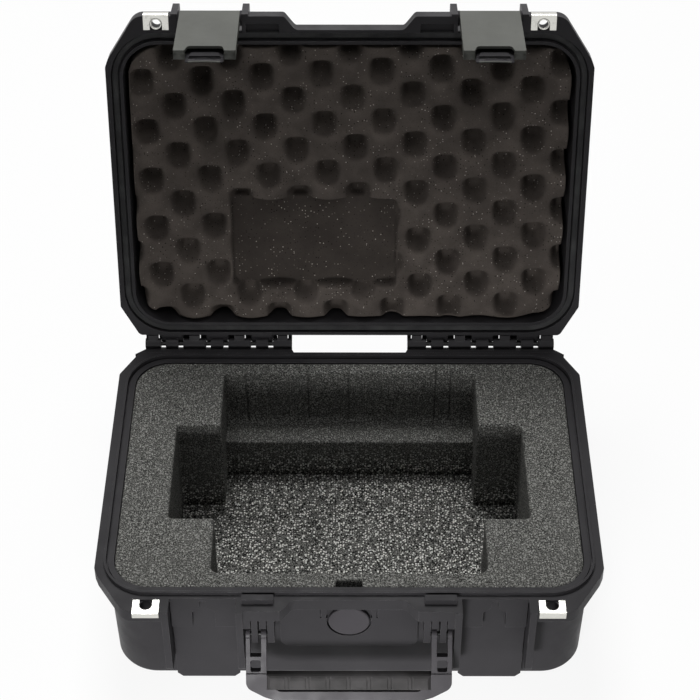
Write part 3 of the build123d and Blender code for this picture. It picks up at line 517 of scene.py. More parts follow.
@dataclass(frozen=True)
class PorousFoam:
    """Soft open-cell foam: a fine even pore with painted shade in its pores and a few painted
    specks, darker over the recess.
    """

    name: str
    body: Tone
    pale: Tone
    glint: Tone
    pore: float = 0.8 * MM
    pore_depth: float = 0.3 * MM
    pressed_name: ClassVar[str] = "pressed"
    pressed_share: float = 0.5
    pressed_dim: float = 0.2
    pore_shade_dim: float = 0.45
    hole_shade_dim: float = 0.12
    hole_shade_specks: Specks = Specks(2.3 * MM, 0.55 * MM, 0.3)
    glints: Specks = Specks(2.6 * MM, 0.45 * MM, 0.3)
    drift_size: float = 30 * MM
    busy_size: float = 22 * MM
    roughness: float = 0.95
    specular: float = 0.05

    def material(self) -> bpy.types.Material:
        """Pores painted darker where the relief dips, as painted shade, over a slow drift between
        two near colours, with patches of painted hole shade and glints.

        Returns:
            The material.
        """
        sheet = FinishSheet(self.name)
        pores = sheet.noise(self.pore, 3.0, 0.7)
        pressed = sheet.add("ShaderNodeAttribute", {}, "Fac", attribute_name=self.pressed_name)
        flat = sheet.step(Step.MULTIPLY, pressed, self.pressed_share)
        colour = sheet.over(sheet.drift(self.drift_size), self.body, self.pale)
        # Darker over the pressed-in recess.
        colour = sheet.over(flat, colour, dimmed(self.body, self.pressed_dim))
        # Painted shade: darker where the pore relief dips.
        colour = sheet.over(sheet.spread(pores, 0.46, 0.3, 0.0, 0.6), colour,
                            dimmed(self.body, self.pore_shade_dim))
        busy = sheet.spread(sheet.noise(self.busy_size, 3.0), 0.4, 0.6, 0.25, 1.0)
        # Dark specks are painted shade in holes, and pale specks are painted glints.
        hollow = dimmed(self.body, self.hole_shade_dim)
        for dots, above in ((self.hole_shade_specks, hollow), (self.glints, self.glint)):
            colour = sheet.over(sheet.step(Step.MULTIPLY, sheet.specks(dots), busy), colour, above)
        return sheet.finished({
            "Base Color": colour,
            "Roughness": self.roughness,
            "Specular IOR Level": self.specular,
            "Normal": sheet.bump(pores, self.pore_depth)})


@dataclass(frozen=True)
class Finishes:
    """Every finish of the case."""

    # The second colour of each plastic is its paler edge: partly wear, partly painted highlight.
    shell: MouldedPlastic = MouldedPlastic(
        "case_shell_plastic", tone(44, 43, 45), tone(118, 116, 118), edge_radius=0.5 * MM,
        pale_edge_strength=0.6, specular=0.1)
    latch: MouldedPlastic = MouldedPlastic(
        "latch_plastic", tone(84, 85, 81), tone(132, 132, 128), roughness=(0.36, 0.5),
        grain=0.5 * MM, grain_depth=0.02 * MM)
    handle: MouldedPlastic = MouldedPlastic("handle_plastic", tone(53, 51, 54), tone(98, 96, 98))
    grip: SoftRubber = SoftRubber("grip_rubber", tone(45, 44, 44), tone(76, 74, 75))
    gasket: SoftRubber = SoftRubber("gasket_rubber", tone(52, 52, 53), tone(92, 92, 92))
    steel: BrushedStainless = BrushedStainless("brushed_stainless")
    # The pins use the brushed steel much darkened, so they show little reflection.
    pin: BrushedStainless = BrushedStainless(
        "darkened_pin_steel", tone(38, 38, 38), tone(20, 20, 20), (0.35, 0.55))
    base_foam: SpeckledFoam = SpeckledFoam(
        "speckled_base_foam", tone(30, 30, 29), tone(84, 84, 82), tone(150, 150, 145),
        tone(225, 225, 220))
    lid_foam: PorousFoam = PorousFoam(
        "porous_lid_foam", tone(82, 76, 72), tone(98, 91, 86), tone(205, 198, 190))


# ---------------------------------------------------------------- surfaces


@dataclass(frozen=True)
class Skin:
    """A closed surface as whole arrays, before it is a piece.

    The points are n by 3. The quads are m by 4 corner numbers, anticlockwise from outside, and
    each cap is a ring of corner numbers that one flat face closes.
    """

    points: np.ndarray
    quads: np.ndarray
    caps: Sequence[np.ndarray] = ()

    def moved(self, place: Place, degrees: float = 0.0) -> Skin:
        """Turns the surface about X through the origin and then carries the origin to a place.

        Args:
            place: Where the origin goes.
            degrees: Turn from Y towards Z.

        Returns:
            The moved surface.
        """
        x, y, z = self.points.T
        cosine, sine = math.cos(math.radians(degrees)), math.sin(math.radians(degrees))
        turned = np.column_stack([x, y * cosine - z * sine, y * sine + z * cosine])
        return replace(self, points=turned + np.array(place))

    def piece(self, name: str) -> bpy.types.Object:
        """Makes an object of the surface.

        Args:
            name: The piece's name.

        Returns:
            The object, at the origin, with smooth faces.
        """
        corners = np.concatenate([self.quads.ravel(), *self.caps])
        sizes = np.array([4] * len(self.quads) + [len(ring) for ring in self.caps])
        mesh = bpy.data.meshes.new(name)
        mesh.vertices.add(len(self.points))
        mesh.vertices.foreach_set("co", self.points.astype(np.float32).ravel())
        mesh.loops.add(len(corners))
        mesh.loops.foreach_set("vertex_index", corners.astype(np.int32))
        mesh.polygons.add(len(sizes))
        mesh.polygons.foreach_set("loop_start", (np.cumsum(sizes) - sizes).astype(np.int32))
        mesh.polygons.foreach_set("loop_total", sizes.astype(np.int32))
        mesh.update(calc_edges=True)
        mesh.polygons.foreach_set("use_smooth", np.ones(len(sizes), dtype=bool))
        mesh.validate()
        piece = bpy.data.objects.new(name, mesh)
        bpy.context.scene.collection.objects.link(piece)
        return piece


def lofted(loops: np.ndarray, closed: bool = False) -> Skin:
    """A surface through closed loops of points that have the same count.

    A face joins each point with its neighbour on the loop and both with the next loop's.

    Args:
        loops: Loops one after the other, k by n by 3.
        closed: Whether the last loop joins the first instead of both being closed by a face.

    Returns:
        The surface.
    """
    number = np.arange(loops.shape[0] * loops.shape[1]).reshape(loops.shape[:2])
    beside, after = np.roll(number, -1, axis=1), np.roll(number, -1, axis=0)
    quads = np.stack([number, beside, np.roll(after, -1, axis=1), after], axis=-1)
    quads = quads if closed else quads[:-1]
    caps = () if closed else (number[0][::-1], number[-1])
    return Skin(loops.reshape(-1, 3), quads.reshape(-1, 4), caps)


def circle(radius: float | np.ndarray, count: int) -> tuple[np.ndarray, np.ndarray]:
    """Both coordinates of points round a circle, anticlockwise."""
    turn = np.linspace(0.0, 2 * np.pi, count, endpoint=False)
    return radius * np.cos(turn), radius * np.sin(turn)


def rounded_box_radius(angle: np.ndarray, half_x: float, half_y: float,
                       corner: float) -> np.ndarray:
    """Distance from the centre to a rounded rectangle, along each angle.

    The outline is sampled finely, a quarter turn at each corner, and read off by angle.

    Args:
        angle: Angles in radians.
        half_x: Half its length.
        half_y: Half its width.
        corner: Corner radius.

    Returns:
        The distances.
    """
    arc_points, side_points, front_points = 33, 40, 60
    turn = np.linspace(0.0, 0.5 * np.pi, arc_points)
    flat_x, flat_y = half_x - corner, half_y - corner
    side = np.stack([np.full(side_points, half_x), np.linspace(0.0, flat_y, side_points)])
    arc = np.stack([flat_x + corner * np.cos(turn), flat_y + corner * np.sin(turn)])
    front = np.stack([np.linspace(flat_x, 0.0, front_points), np.full(front_points, half_y)])
    line = np.concatenate([side, arc, front], axis=1)
    folded = np.arctan2(np.abs(np.sin(angle)), np.abs(np.cos(angle)))
    return np.interp(folded, np.arctan2(line[1], line[0]), np.hypot(line[0], line[1]))


def filleted_loop(corners: Sequence[tuple[float, float, float]], step: float) -> np.ndarray:
    """A closed outline with rounded corners.

    Each corner is replaced by the arc that touches both its sides, and the runs between arcs are
    divided into equal steps.

    Args:
        corners: X, Y and radius of each corner, anticlockwise.
        step: Longest distance between two points.

    Returns:
        Points of the loop, n by 2.
    """
    arc_points = 7
    parts: list[np.ndarray] = []
    places = np.array([corner[:2] for corner in corners])
    for index, (x, y, radius) in enumerate(corners):
        here = np.array([x, y])
        if radius <= 0.0:
            parts.append(here[None])
            continue
        back = places[index - 1] - here
        ahead = places[(index + 1) % len(corners)] - here
        back, ahead = back / np.hypot(*back), ahead / np.hypot(*ahead)
        reach = radius / math.tan(0.5 * math.acos(float(np.clip(back @ ahead, -1, 1))))
        middle = here + (back + ahead) / np.hypot(*(back + ahead)) * math.hypot(reach, radius)
        first, last = here + back * reach - middle, here + ahead * reach - middle
        swept = math.acos(float(np.clip(first @ last / radius ** 2, -1, 1)))
        share = np.linspace(0.0, 1.0, arc_points)[:, None]
        parts.append(middle + (np.sin((1 - share) * swept) * first
                               + np.sin(share * swept) * last) / math.sin(swept))
    line = np.concatenate(parts)
    following = np.roll(line, -1, axis=0)
    gaps = np.hypot(*(following - line).T)
    runs = [start + (end - start) * np.linspace(0, 1, max(math.ceil(gap / step), 1),
                                                endpoint=False)[:, None]
            for start, end, gap in zip(line, following, gaps) if gap > 1e-4 * MM]
    return np.concatenate(runs)


def outward(loop: np.ndarray, smoothing: int) -> np.ndarray:
    """Unit normals of an anticlockwise loop, pointing away from what it encloses.

    The normal is the step between the two neighbours turned a quarter turn clockwise.

    Args:
        loop: Points of the loop, n by 2.
        smoothing: How many neighbours on each side are averaged.

    Returns:
        Normals, n by 2.
    """
    def to_unit(steps: np.ndarray) -> np.ndarray:
        """The same directions with length 1."""
        return steps / np.maximum(np.hypot(*steps.T)[:, None], 1e-9)

    along = np.roll(loop, -1, axis=0) - np.roll(loop, 1, axis=0)
    normal = to_unit(np.stack([along[:, 1], -along[:, 0]], axis=1))
    return to_unit(sum(np.roll(normal, shift, axis=0)
                       for shift in range(-smoothing, smoothing + 1)))


def stack(outline: np.ndarray, rows: Sequence[tuple[float, float]],
          hollow: bool = False) -> Skin:
    """A surface made of one outline at several heights.

    Each row is the outline moved inwards by its inset, at its height, from the bottom up.

    Args:
        outline: Points, n by 2, anticlockwise.
        rows: Height and inset of each row.
        hollow: Whether the last row joins the first instead of both being closed by a face.

    Returns:
        The surface.
    """
    inwards = -outward(outline, 1)
    return lofted(np.stack([
        np.column_stack([outline + inwards * inset, np.full(len(outline), height)])
        for height, inset in rows]), hollow)


@dataclass
class SlabShape:
    """A soft slab with rounded corners in plan, whose face is a height field.

    A point (u, v) of the face lies at y = v times the half width, and at x = u times the half
    length there, which shrinks along the corner's quarter circle.
    """

    half_x: float
    half_y: float
    corner: float
    across: np.ndarray
    along: np.ndarray
    least_step: float = 0.1 * MM

    def plan(self) -> tuple[np.ndarray, np.ndarray]:
        """Where the points of the face lie.

        Returns:
            X and Y of every point.
        """
        y = np.broadcast_to(self.along[:, None] * self.half_y, (len(self.along), len(self.across)))
        past = np.maximum(np.abs(y) - (self.half_y - self.corner), 0.0)
        reach = np.sqrt(np.maximum(self.corner ** 2 - past ** 2, 0.0))
        return self.across * (self.half_x - self.corner + reach), y

    def skin(self, height: np.ndarray, back: Callable[[np.ndarray], np.ndarray],
             side_levels: np.ndarray) -> Skin:
        """The closed slab, with its face towards +Z.

        Args:
            height: Z of the face at every point of plan().
            back: For shares from 0, the face, to 1, the back, gives the side rows' scale in X
                and Y.
            side_levels: Z of the side's rows below the face, from high to low.

        Returns:
            The surface.
        """
        face = np.stack([*self.plan(), height], axis=-1)
        number = np.arange(height.size).reshape(height.shape)
        quads = np.stack([number[:-1, :-1], number[:-1, 1:], number[1:, 1:], number[1:, :-1]],
                         axis=-1)
        rim = np.concatenate([number[0, :-1], number[:-1, -1], number[-1, :0:-1],
                              number[:0:-1, 0]])
        edge = face.reshape(-1, 3)[rim]
        share = (side_levels[0] - side_levels) / (side_levels[0] - side_levels[-1])
        steps = self.least_step * (1 + np.arange(len(share)))
        levels = np.minimum(side_levels[:, None], edge[:, 2] - steps[:, None])
        walls = np.concatenate([edge[None, :, :2] * back(share)[:, None], levels[..., None]],
                               axis=-1)
        side = height.size + np.arange(levels.size).reshape(levels.shape)
        rings = np.concatenate([rim[None], side])
        ahead = np.roll(rings, -1, axis=1)
        side_quads = np.stack([rings[:-1], rings[1:], ahead[1:], ahead[:-1]], axis=-1)
        return Skin(np.concatenate([face.reshape(-1, 3), walls.reshape(-1, 3)]),
                    np.concatenate([quads.reshape(-1, 4), side_quads.reshape(-1, 4)]),
                    (rings[-1][::-1],))


# ---------------------------------------------------------------- sub-assemblies


@dataclass(frozen=True)
class Hinge:
    """Where the lid turns and how far it stands open at rest."""

    y: float = 155.0 * MM
    z: float = 113.8 * MM
    angle: float = 103.74

    def opened(self, skin: Skin) -> Skin:
        """Turns a surface of the shut lid to where the open lid holds it.

        Args:
            skin: The surface in the shut case.

        Returns:
            The surface in the open case.
        """
        return skin.moved((0.0, -self.y, -self.z)).moved((0.0, self.y, self.z), -self.angle)


def pairs(*names: str) -> tuple[str, ...]:
    """The left and the right piece of each name."""
    return tuple(f"{name}_{end}" for name in names for end in ("left", "right"))


@dataclass
class SubAssembly:
    """Shared by every sub-assembly: dressing CAD pieces, placing new ones and reporting them.
    """

    frame: dict
    finishes: Finishes

    def dress(self, names: Sequence[str], material: bpy.types.Material) -> None:
        """Gives CAD pieces a finish.

        Args:
            names: The pieces' names.
            material: The finish.
        """
        for name in names:
            for slot in self.frame["nodes"][name].material_slots:
                slot.material = material
            LOG.info("dressed %s with %s", name, material.name)

    def place(self, name: str, skin: Skin, body: str, slot: str, material: bpy.types.Material,
              stands_for: Sequence[str] = ()) -> bpy.types.Object:
        """Makes a new piece and gives it its finish and body.

        Args:
            name: The piece's name.
            skin: Its surface.
            body: The body that it rides on.
            slot: The record's material slot; not used.
            material: Its finish.
            stands_for: CAD pieces that it replaces.

        Returns:
            The piece.
        """
        piece = skin.piece(name)
        piece.data.materials.append(material)
        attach(piece, body)
        if stands_for:
            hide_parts(*stands_for)
        LOG.info("built %s, %d faces", name, len(piece.data.polygons))
        return piece


@dataclass(frozen=True)
class Lamp:
    """A square soft light that points at the case. Its power is in watts, its spread in degrees."""

    name: str
    power: float
    side: float
    place: Place
    aim: Place = (0.0, 0.05, 0.12)
    spread: float = 180.0

    def hang(self) -> None:
        """Puts the lamp up, turned so that it shines from its place to its aim."""
        data = bpy.data.lights.new(self.name, "AREA")
        data.energy, data.size, data.spread = self.power, self.side, math.radians(self.spread)
        lamp = bpy.data.objects.new(self.name, data)
        x, y, z = np.array(self.place) - np.array(self.aim)
        lamp.location = self.place
        lamp.rotation_euler = (math.atan2(math.hypot(x, y), z), 0.0, math.atan2(x, -y))
        bpy.context.scene.collection.objects.link(lamp)


@dataclass
class Studio:
    """Camera, soft lights, pale floor and white surroundings."""

    place: Place = (0.00232, -1.12147, 1.28948)
    tilt: float = 47.1634
    turn: float = 0.09
    lens: float = 97.71
    sensor: float = 36.0
    far: float = 50.0
    ambient: float = 0.08
    floor_reach: float = 6.0
    floor_tone: float = 0.94
    floor_white: float = 0.9
    lamps: tuple[Lamp, ...] = (
        Lamp("key_behind", 43.0, 0.9, (-0.15, 0.85, 2.2)),
        Lamp("fill_above", 6.0, 1.4, (0.0, -0.6, 2.2)),
        Lamp("fill_front", 1.5, 0.18, (-0.14, -0.82, 0.11), (-0.06, -0.45, -0.03), 64.0))

    def camera(self) -> None:
        """Puts the camera at the photograph's viewpoint."""
        data = bpy.data.cameras.new("camera")
        data.lens, data.sensor_width, data.clip_end = self.lens, self.sensor, self.far
        seen_from = bpy.data.objects.new("camera", data)
        seen_from.location = self.place
        seen_from.rotation_euler = (math.radians(self.tilt), 0.0, math.radians(self.turn))
        bpy.context.scene.collection.objects.link(seen_from)
        bpy.context.scene.camera = seen_from

    def surroundings(self) -> None:
        """White to the camera and in reflections, and plain ambient light for everything else."""
        world = bpy.data.worlds.new("white_room")
        bpy.context.scene.world = world
        world.use_nodes = True
        sheet = NodeSheet(world.node_tree)
        room = sheet.nodes["Background"].inputs
        sheet.feed(room["Color"], (1.0, 1.0, 1.0))
        sheet.feed(room["Strength"], sheet.add("ShaderNodeMapRange", {
            "Value": sheet.is_seen(), "To Min": self.ambient, "To Max": 1.0}, "Result"))

    def floor(self) -> None:
        """A wide floor, mostly its own white where it is seen, that keeps a faint shadow."""
        corners = np.array([(-1, -1, 0), (1, -1, 0), (1, 1, 0), (-1, 1, 0)])
        floor = Skin(self.floor_reach * corners, np.array([[0, 1, 2, 3]])).piece("floor")
        sheet = FinishSheet("floor_white")
        floor.data.materials.append(sheet.finished({
            "Base Color": (self.floor_tone,) * 3, "Roughness": 0.9, "Specular IOR Level": 0.1}))
        share = sheet.step(Step.MULTIPLY, sheet.is_seen(), self.floor_white)
        lit = sheet.nodes["Principled BSDF"].outputs["BSDF"]
        white = sheet.add("ShaderNodeEmission", {}, "Emission")
        blend = sheet.add("ShaderNodeMixShader", {"Fac": share, 1: lit, 2: white}, "Shader")
        sheet.feed(sheet.nodes["Material Output"].inputs["Surface"], blend)

    def build(self) -> None:
        """Makes the whole studio."""
        bpy.context.scene.view_settings.view_transform = "Standard"
        self.camera()
        self.surroundings()
        for lamp in self.lamps:
            lamp.hang()
        self.floor()
        LOG.info("studio ready, %d lamps", len(self.lamps))


@dataclass
class Shells(SubAssembly):
    """The two moulded halves."""

    names: tuple[str, ...] = ("base_shell", "lid_shell")

    def build(self) -> None:
        """Dresses both halves in grained plastic."""
        self.dress(self.names, self.finishes.shell.material())


@dataclass
class Seal(SubAssembly):
    """The gasket in the lid's groove and the ring under the valve."""

    names: tuple[str, ...] = ("lid_gasket", "valve_seal")

    def build(self) -> None:
        """Dresses the sealing rings in rubber."""
        self.dress(self.names, self.finishes.gasket.material())


@dataclass
class Hardware(SubAssembly):
    """Pins and springs of a much darker copy of the brushed steel, and padlock guards and eyelets
    of stainless steel.
    """

    pins: tuple[str, ...] = pairs("hinge_pin", "latch_pin", "trigger_pin", "trigger_spring",
                                  "handle_pin")
    guards: tuple[str, ...] = pairs("padlock_guard_base", "padlock_guard_lid")
    lid_rim: float = 112.4 * MM
    eyelet_radius: float = 4.9 * MM
    eyelet_wall: float = 1.0 * MM
    eyelet_edge: float = 0.3 * MM
    eyelet_proud: float = 0.12 * MM
    eyelet_length: float = 2.4 * MM
    eyelet_from_back: float = 5.2 * MM

    def eyelet(self, place: Place) -> Skin:
        """The steel ring round a guard's hole in the lid, built in the shut lid.

        Args:
            place: Middle of the hole at the lid's rim in the shut case.

        Returns:
            The surface, opened with the lid.
        """
        edge, wall = self.eyelet_edge, self.eyelet_wall
        end, far = -self.eyelet_proud, self.eyelet_length
        ring = stack(np.column_stack(circle(self.eyelet_radius, 40)), (
            (end, edge), (end + edge, 0.0), (far, 0.0), (far, wall), (end + edge, wall),
            (end, wall - edge)), hollow=True)
        return Hinge().opened(ring.moved(place))

    def build(self) -> None:
        """Dresses pins, springs and guards, and adds the eyelets."""
        steel = self.finishes.steel.material()
        self.dress(self.pins, self.finishes.pin.material())
        self.dress(self.guards, steel)
        for end in ("left", "right"):
            low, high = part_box(f"padlock_guard_base_{end}")
            hole = (0.5 * (low[0] + high[0]), high[1] - self.eyelet_from_back, self.lid_rim)
            self.place(f"padlock_eyelet_{end}", self.eyelet(hole), "lid", "steel", steel)


@dataclass
class Latches(SubAssembly):
    """The two pull latches and their triggers.

    A lever's own pieces are worked out round its pin, with Y to the back and Z up the lever. The
    lip and its bead are worked out lying down, with the lever's Z as their Y and their front
    towards +Z.
    """

    levers: tuple[str, ...] = pairs("latch")
    triggers: tuple[str, ...] = pairs("latch_trigger")
    lean: float = 6.5
    low: float = -70.5 * MM
    end_half: tuple[float, float] = (15.7 * MM, 25.2 * MM)
    end_depth: tuple[float, float] = (-3.2 * MM, 2.7 * MM)
    end_thickness: float = 0.7 * MM
    end_corner: float = 0.6 * MM
    end_edge: float = 0.15 * MM
    lip_half: float = 15.6 * MM
    lip_end: float = 8.0 * MM
    lip_start: float = 6.0 * MM
    lip_corners: tuple[float, float] = (2.2 * MM, 1.5 * MM)
    lip_depth: tuple[float, float] = (1.3 * MM, 2.5 * MM)
    lip_edge: float = 0.3 * MM
    lip_insets: tuple[float, float] = (4 * MM, 7.9 * MM)
    lip_curl: float = 1.3 * MM
    curl_lead: float = 1 * MM
    curl_fade: float = 0.6
    bead_half: float = 13.0 * MM
    bead_radius: float = 0.6 * MM
    gap_shade_ring_half: tuple[float, float] = (25.45 * MM, 26.65 * MM)
    gap_shade_ring_radius: tuple[float, float] = (2.3 * MM, 6.5 * MM)

    def gap_shade_ring(self, side: int) -> Skin:
        """A dark ring between the lever and a post, painted shade that fills the gap there: a ring
        profile carried round the pin.

        Args:
            side: -1 for the left ring and 1 for the right one.

        Returns:
            The surface.
        """
        near, far = sorted(side * half for half in self.gap_shade_ring_half)
        inner, outer = self.gap_shade_ring_radius
        x, radius = np.array([(near, outer), (far, outer), (far, inner), (near, inner)]).T
        y, z = circle(radius[:, None], 36)
        return lofted(np.stack([np.broadcast_to(x[:, None], y.shape), y, z], axis=-1), closed=True)

    def end_cover(self, side: int) -> Skin:
        """The closed end of one of the lever's two prongs.

        Args:
            side: -1 for the left prong and 1 for the right one.

        Returns:
            The surface.
        """
        inner, outer = sorted(side * half for half in self.end_half)
        front, back = self.end_depth
        outline = filleted_loop([(x, y, self.end_corner) for x, y in (
            (inner, front), (outer, front), (outer, back), (inner, back))], 1.5 * MM)
        return stack(outline, ((self.low, self.end_edge), (self.low + self.end_edge, 0.0),
                               (self.low + self.end_thickness, 0.0)))

    def curl(self, x: np.ndarray, y: np.ndarray) -> np.ndarray:
        """How far the lip bends to the front: a smooth step down its length, most in its middle.

        Args:
            x: X of the points.
            y: Y of the points, along the lip.

        Returns:
            The bend at each point.
        """
        down = np.clip((self.low + self.curl_lead - y) / (self.lip_end + self.curl_lead), 0, 1)
        return self.lip_curl * smooth(down) * (1.0 - self.curl_fade * (x / self.lip_half) ** 2)

    def lip(self) -> Skin:
        """The finger lip of a trigger, a thin plate whose points are raised by the curl.

        Returns:
            The surface.
        """
        half, low, high = self.lip_half, self.low - self.lip_end, self.low + self.lip_start
        end, root = self.lip_corners
        outline = filleted_loop([(-half, low, end), (half, low, end), (half, high, root),
                                 (-half, high, root)], 0.8 * MM)
        front, back = self.lip_depth
        flat = stack(outline, (
            (-back, self.lip_edge), (-back + self.lip_edge, 0.0), (-front - self.lip_edge, 0.0),
            (-front, self.lip_edge), *((-front, inset) for inset in self.lip_insets)))
        x, y, z = flat.points.T
        return replace(flat, points=np.column_stack([x, y, z + self.curl(x, y)]))

    def bead(self) -> Skin:
        """The bead along the lip's end, a circle carried along the curled edge.

        Returns:
            The surface.
        """
        x = np.linspace(-self.bead_half, self.bead_half, 41)
        y = np.full(x.shape, self.low - self.lip_end)
        path = np.column_stack([x, y, self.curl(x, y) - self.lip_depth[0] - self.lip_edge])
        across = np.insert(np.column_stack(circle(self.bead_radius, 12)), 0, 0.0, axis=1)
        return lofted(path[:, None] + across)

    def build(self) -> None:
        """Dresses levers in the latch plastic and triggers in the dark shell plastic as painted
        shade, closes the levers' ends and adds dark gap rings and lips.
        """
        pale, dark = self.finishes.latch.material(), self.finishes.shell.material()
        self.dress(self.levers, pale)
        # The triggers get the dark shell plastic as painted shade for their shaded undersides.
        self.dress(self.triggers, dark)
        turn = self.lean - Hinge().angle
        for end in ("left", "right"):
            latch, trigger = f"latch_{end}", f"trigger_{end}"
            pin = np.mean(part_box(f"latch_pin_{end}"), axis=0)
            for side, word in ((-1, "outer"), (1, "inner")):
                cover, shade_ring = self.end_cover(side).moved(pin, turn), self.gap_shade_ring(side).moved(pin)
                self.place(f"{latch}_end_{word}", cover, latch, "latch", pale)
                # Dark rings fill the gaps beside the lever as painted shade.
                self.place(f"{latch}_spacer_{word}", shade_ring, "lid", "latch", dark)
            lip, bead = self.lip().moved(pin, turn + 90.0), self.bead().moved(pin, turn + 90.0)
            # The lip is a real shape whose dark shell plastic is painted shade; its bead keeps the
            # pale latch plastic.
            self.place(f"{trigger}_lip", lip, trigger, "latch", dark)
            self.place(f"{trigger}_lip_edge", bead, trigger, "latch", pale)


@dataclass
class CarryHandle(SubAssembly):
    """The folding handle with its ribbed grip."""

    def build(self) -> None:
        """Dresses frame and grip."""
        self.dress(("handle_frame",), self.finishes.handle.material())
        self.dress(("handle_grip",), self.finishes.grip.material())


@dataclass
class PressureValve(SubAssembly):
    """The valve on the front wall."""

    names: tuple[str, ...] = ("valve_cap", "valve_body", "valve_nut")

    def build(self) -> None:
        """Dresses cap, body and nut."""
        self.dress(self.names, self.finishes.handle.material())


@dataclass
class BaseFoam(SubAssembly):
    """The foam block with its stepped pocket, and the pad beneath it.

    Its faces swell by sines and cosines, whose waves are in radians per metre.
    """

    half_x: float = 191.2 * MM
    half_y: float = 131.4 * MM
    corner: float = 29.7 * MM
    low_draw_x: float = 1.0 * MM
    low_draw_y: float = 5.0 * MM
    bottom: float = 8.1 * MM
    top: float = 111.3 * MM
    top_dip: float = 0.35 * MM
    soft_edge: float = 2.2 * MM
    pad_bottom: float = 4.0 * MM
    pocket_half: float = 112.7 * MM
    pocket_front: float = -115.5 * MM
    pocket_back: float = 119.9 * MM
    finger_half: float = 151.0 * MM
    finger_front: float = -56.0 * MM
    finger_back: float = 53.0 * MM
    front_corner: float = 8.0 * MM
    outer_corner: float = 4 * MM
    inner_corner: float = 1.5 * MM
    shelf_y: float = 90.9 * MM
    shelf_z: float = 51.1 * MM
    shelf_rise: float = 0.35 * MM
    shelf_edge: tuple[tuple[float, float], ...] = (
        (0.04, 0.2), (0.3, 0.35), (0.6, 0.4), (0.92, 0.5), (0.985, 1.0), (1.0, 2.2))
    notch_half: float = 10.4 * MM
    notch_front: float = -124.4 * MM
    notch_side: float = 0.8 * MM
    notch_floor: float = 60.0 * MM
    slits: tuple[float, ...] = (-93.4, -37.5, -0.8, 78.0, 91.5)
    slit_half: float = 0.5 * MM
    slit_depth: float = 2.5 * MM
    outline_step: float = 2.0 * MM
    top_swell: float = 0.35 * MM
    top_waves: tuple[float, float, float] = (61.0, 13.0, 47.0)
    wall_swell: float = 0.25 * MM
    wall_wave: float = 90.0
    wall_turn: float = 5.0
    pad_drop: float = 0.3 * MM
    pad_swell: float = 0.2 * MM
    pad_waves: tuple[float, float] = (70.0, 60.0)

    def opening(self) -> np.ndarray:
        """Outline of the pocket at the top, anticlockwise from its front right corner.

        Its back has the short slits, and its front holds extra points where lines from the centre
        meet the sides of the finger notch.

        Returns:
            Points of the outline, n by 2.
        """
        right = [(self.pocket_half, self.pocket_front, self.front_corner),
                 (self.pocket_half, self.finger_front, self.inner_corner),
                 (self.finger_half, self.finger_front, self.outer_corner),
                 (self.finger_half, self.finger_back, self.outer_corner),
                 (self.pocket_half, self.finger_back, self.inner_corner),
                 (self.pocket_half, self.pocket_back, self.outer_corner)]
        cuts = [(middle * MM + side * self.slit_half,
                 self.pocket_back + (0.0 if side else self.slit_depth), 0.0)
                for middle in sorted(self.slits, reverse=True) for side in (1, 0, -1)]
        left = [(-x, y, radius) for x, y, radius in reversed(right)]
        nearer, wide = self.pocket_front / -self.half_y, self.notch_half + self.notch_side
        notch = [(x * nearer, self.pocket_front, 0.0)
                 for x in (-wide, -self.notch_half, self.notch_half, wide)]
        return filleted_loop([*right, *cuts, *left, *notch], self.outline_step)

    def lower(self, loop: np.ndarray) -> np.ndarray:
        """The pocket's outline beneath its shelf.

        Points behind the shelf's front edge are spread along that edge by their share of the
        way round.

        Args:
            loop: The outline at the top.

        Returns:
            The lower outline.
        """
        lengths = np.hypot(*(np.roll(loop, -1, axis=0) - loop).T)
        behind = loop[:, 1] > self.shelf_y
        way = (np.cumsum(lengths) - lengths)[behind]
        share = (way - way.min()) / np.ptp(way)
        low = loop.copy()
        low[behind] = np.column_stack([self.pocket_half * (1 - 2 * share),
                                       np.full(share.shape, self.shelf_y)])
        return low

    def outer(self, angle: np.ndarray, z: float) -> np.ndarray:
        """The block's outside at one height.

        It leans in towards the floor like the tub, and steps back at the finger notch.

        Args:
            angle: Direction of each point from the centre.
            z: The height.

        Returns:
            Points of the outline, n by 2.
        """
        share = (self.top - z) / self.top
        reach = rounded_box_radius(angle, self.half_x - self.low_draw_x * share,
                                   self.half_y - self.low_draw_y * share, self.corner)
        x, y = reach * np.cos(angle), reach * np.sin(angle)
        inside = (self.notch_half + self.notch_side - np.abs(x)) / self.notch_side
        cut = np.clip(inside, 0, 1) * ((y < 0) & (z > self.notch_floor))
        return np.column_stack([x, y + (self.notch_front - y) * cut])

    def block(self) -> Skin:
        """The block, as loops of points carried up its outside, over its top and down its pocket.

        The rounded edges are quarter circles. The top swells by a product of sines that fades at
        both its edges, and so do the pocket's walls.

        Returns:
            The surface.
        """
        loop = self.opening()
        angle, normal = np.arctan2(loop[:, 1], loop[:, 0]), outward(loop, 3)
        radial = np.column_stack([np.cos(angle), np.sin(angle)])
        loops: list[np.ndarray] = []

        def add(plan: np.ndarray, z: float | np.ndarray) -> None:
            """Adds one loop at height z."""
            loops.append(np.column_stack([plan, np.broadcast_to(z, len(plan))]))

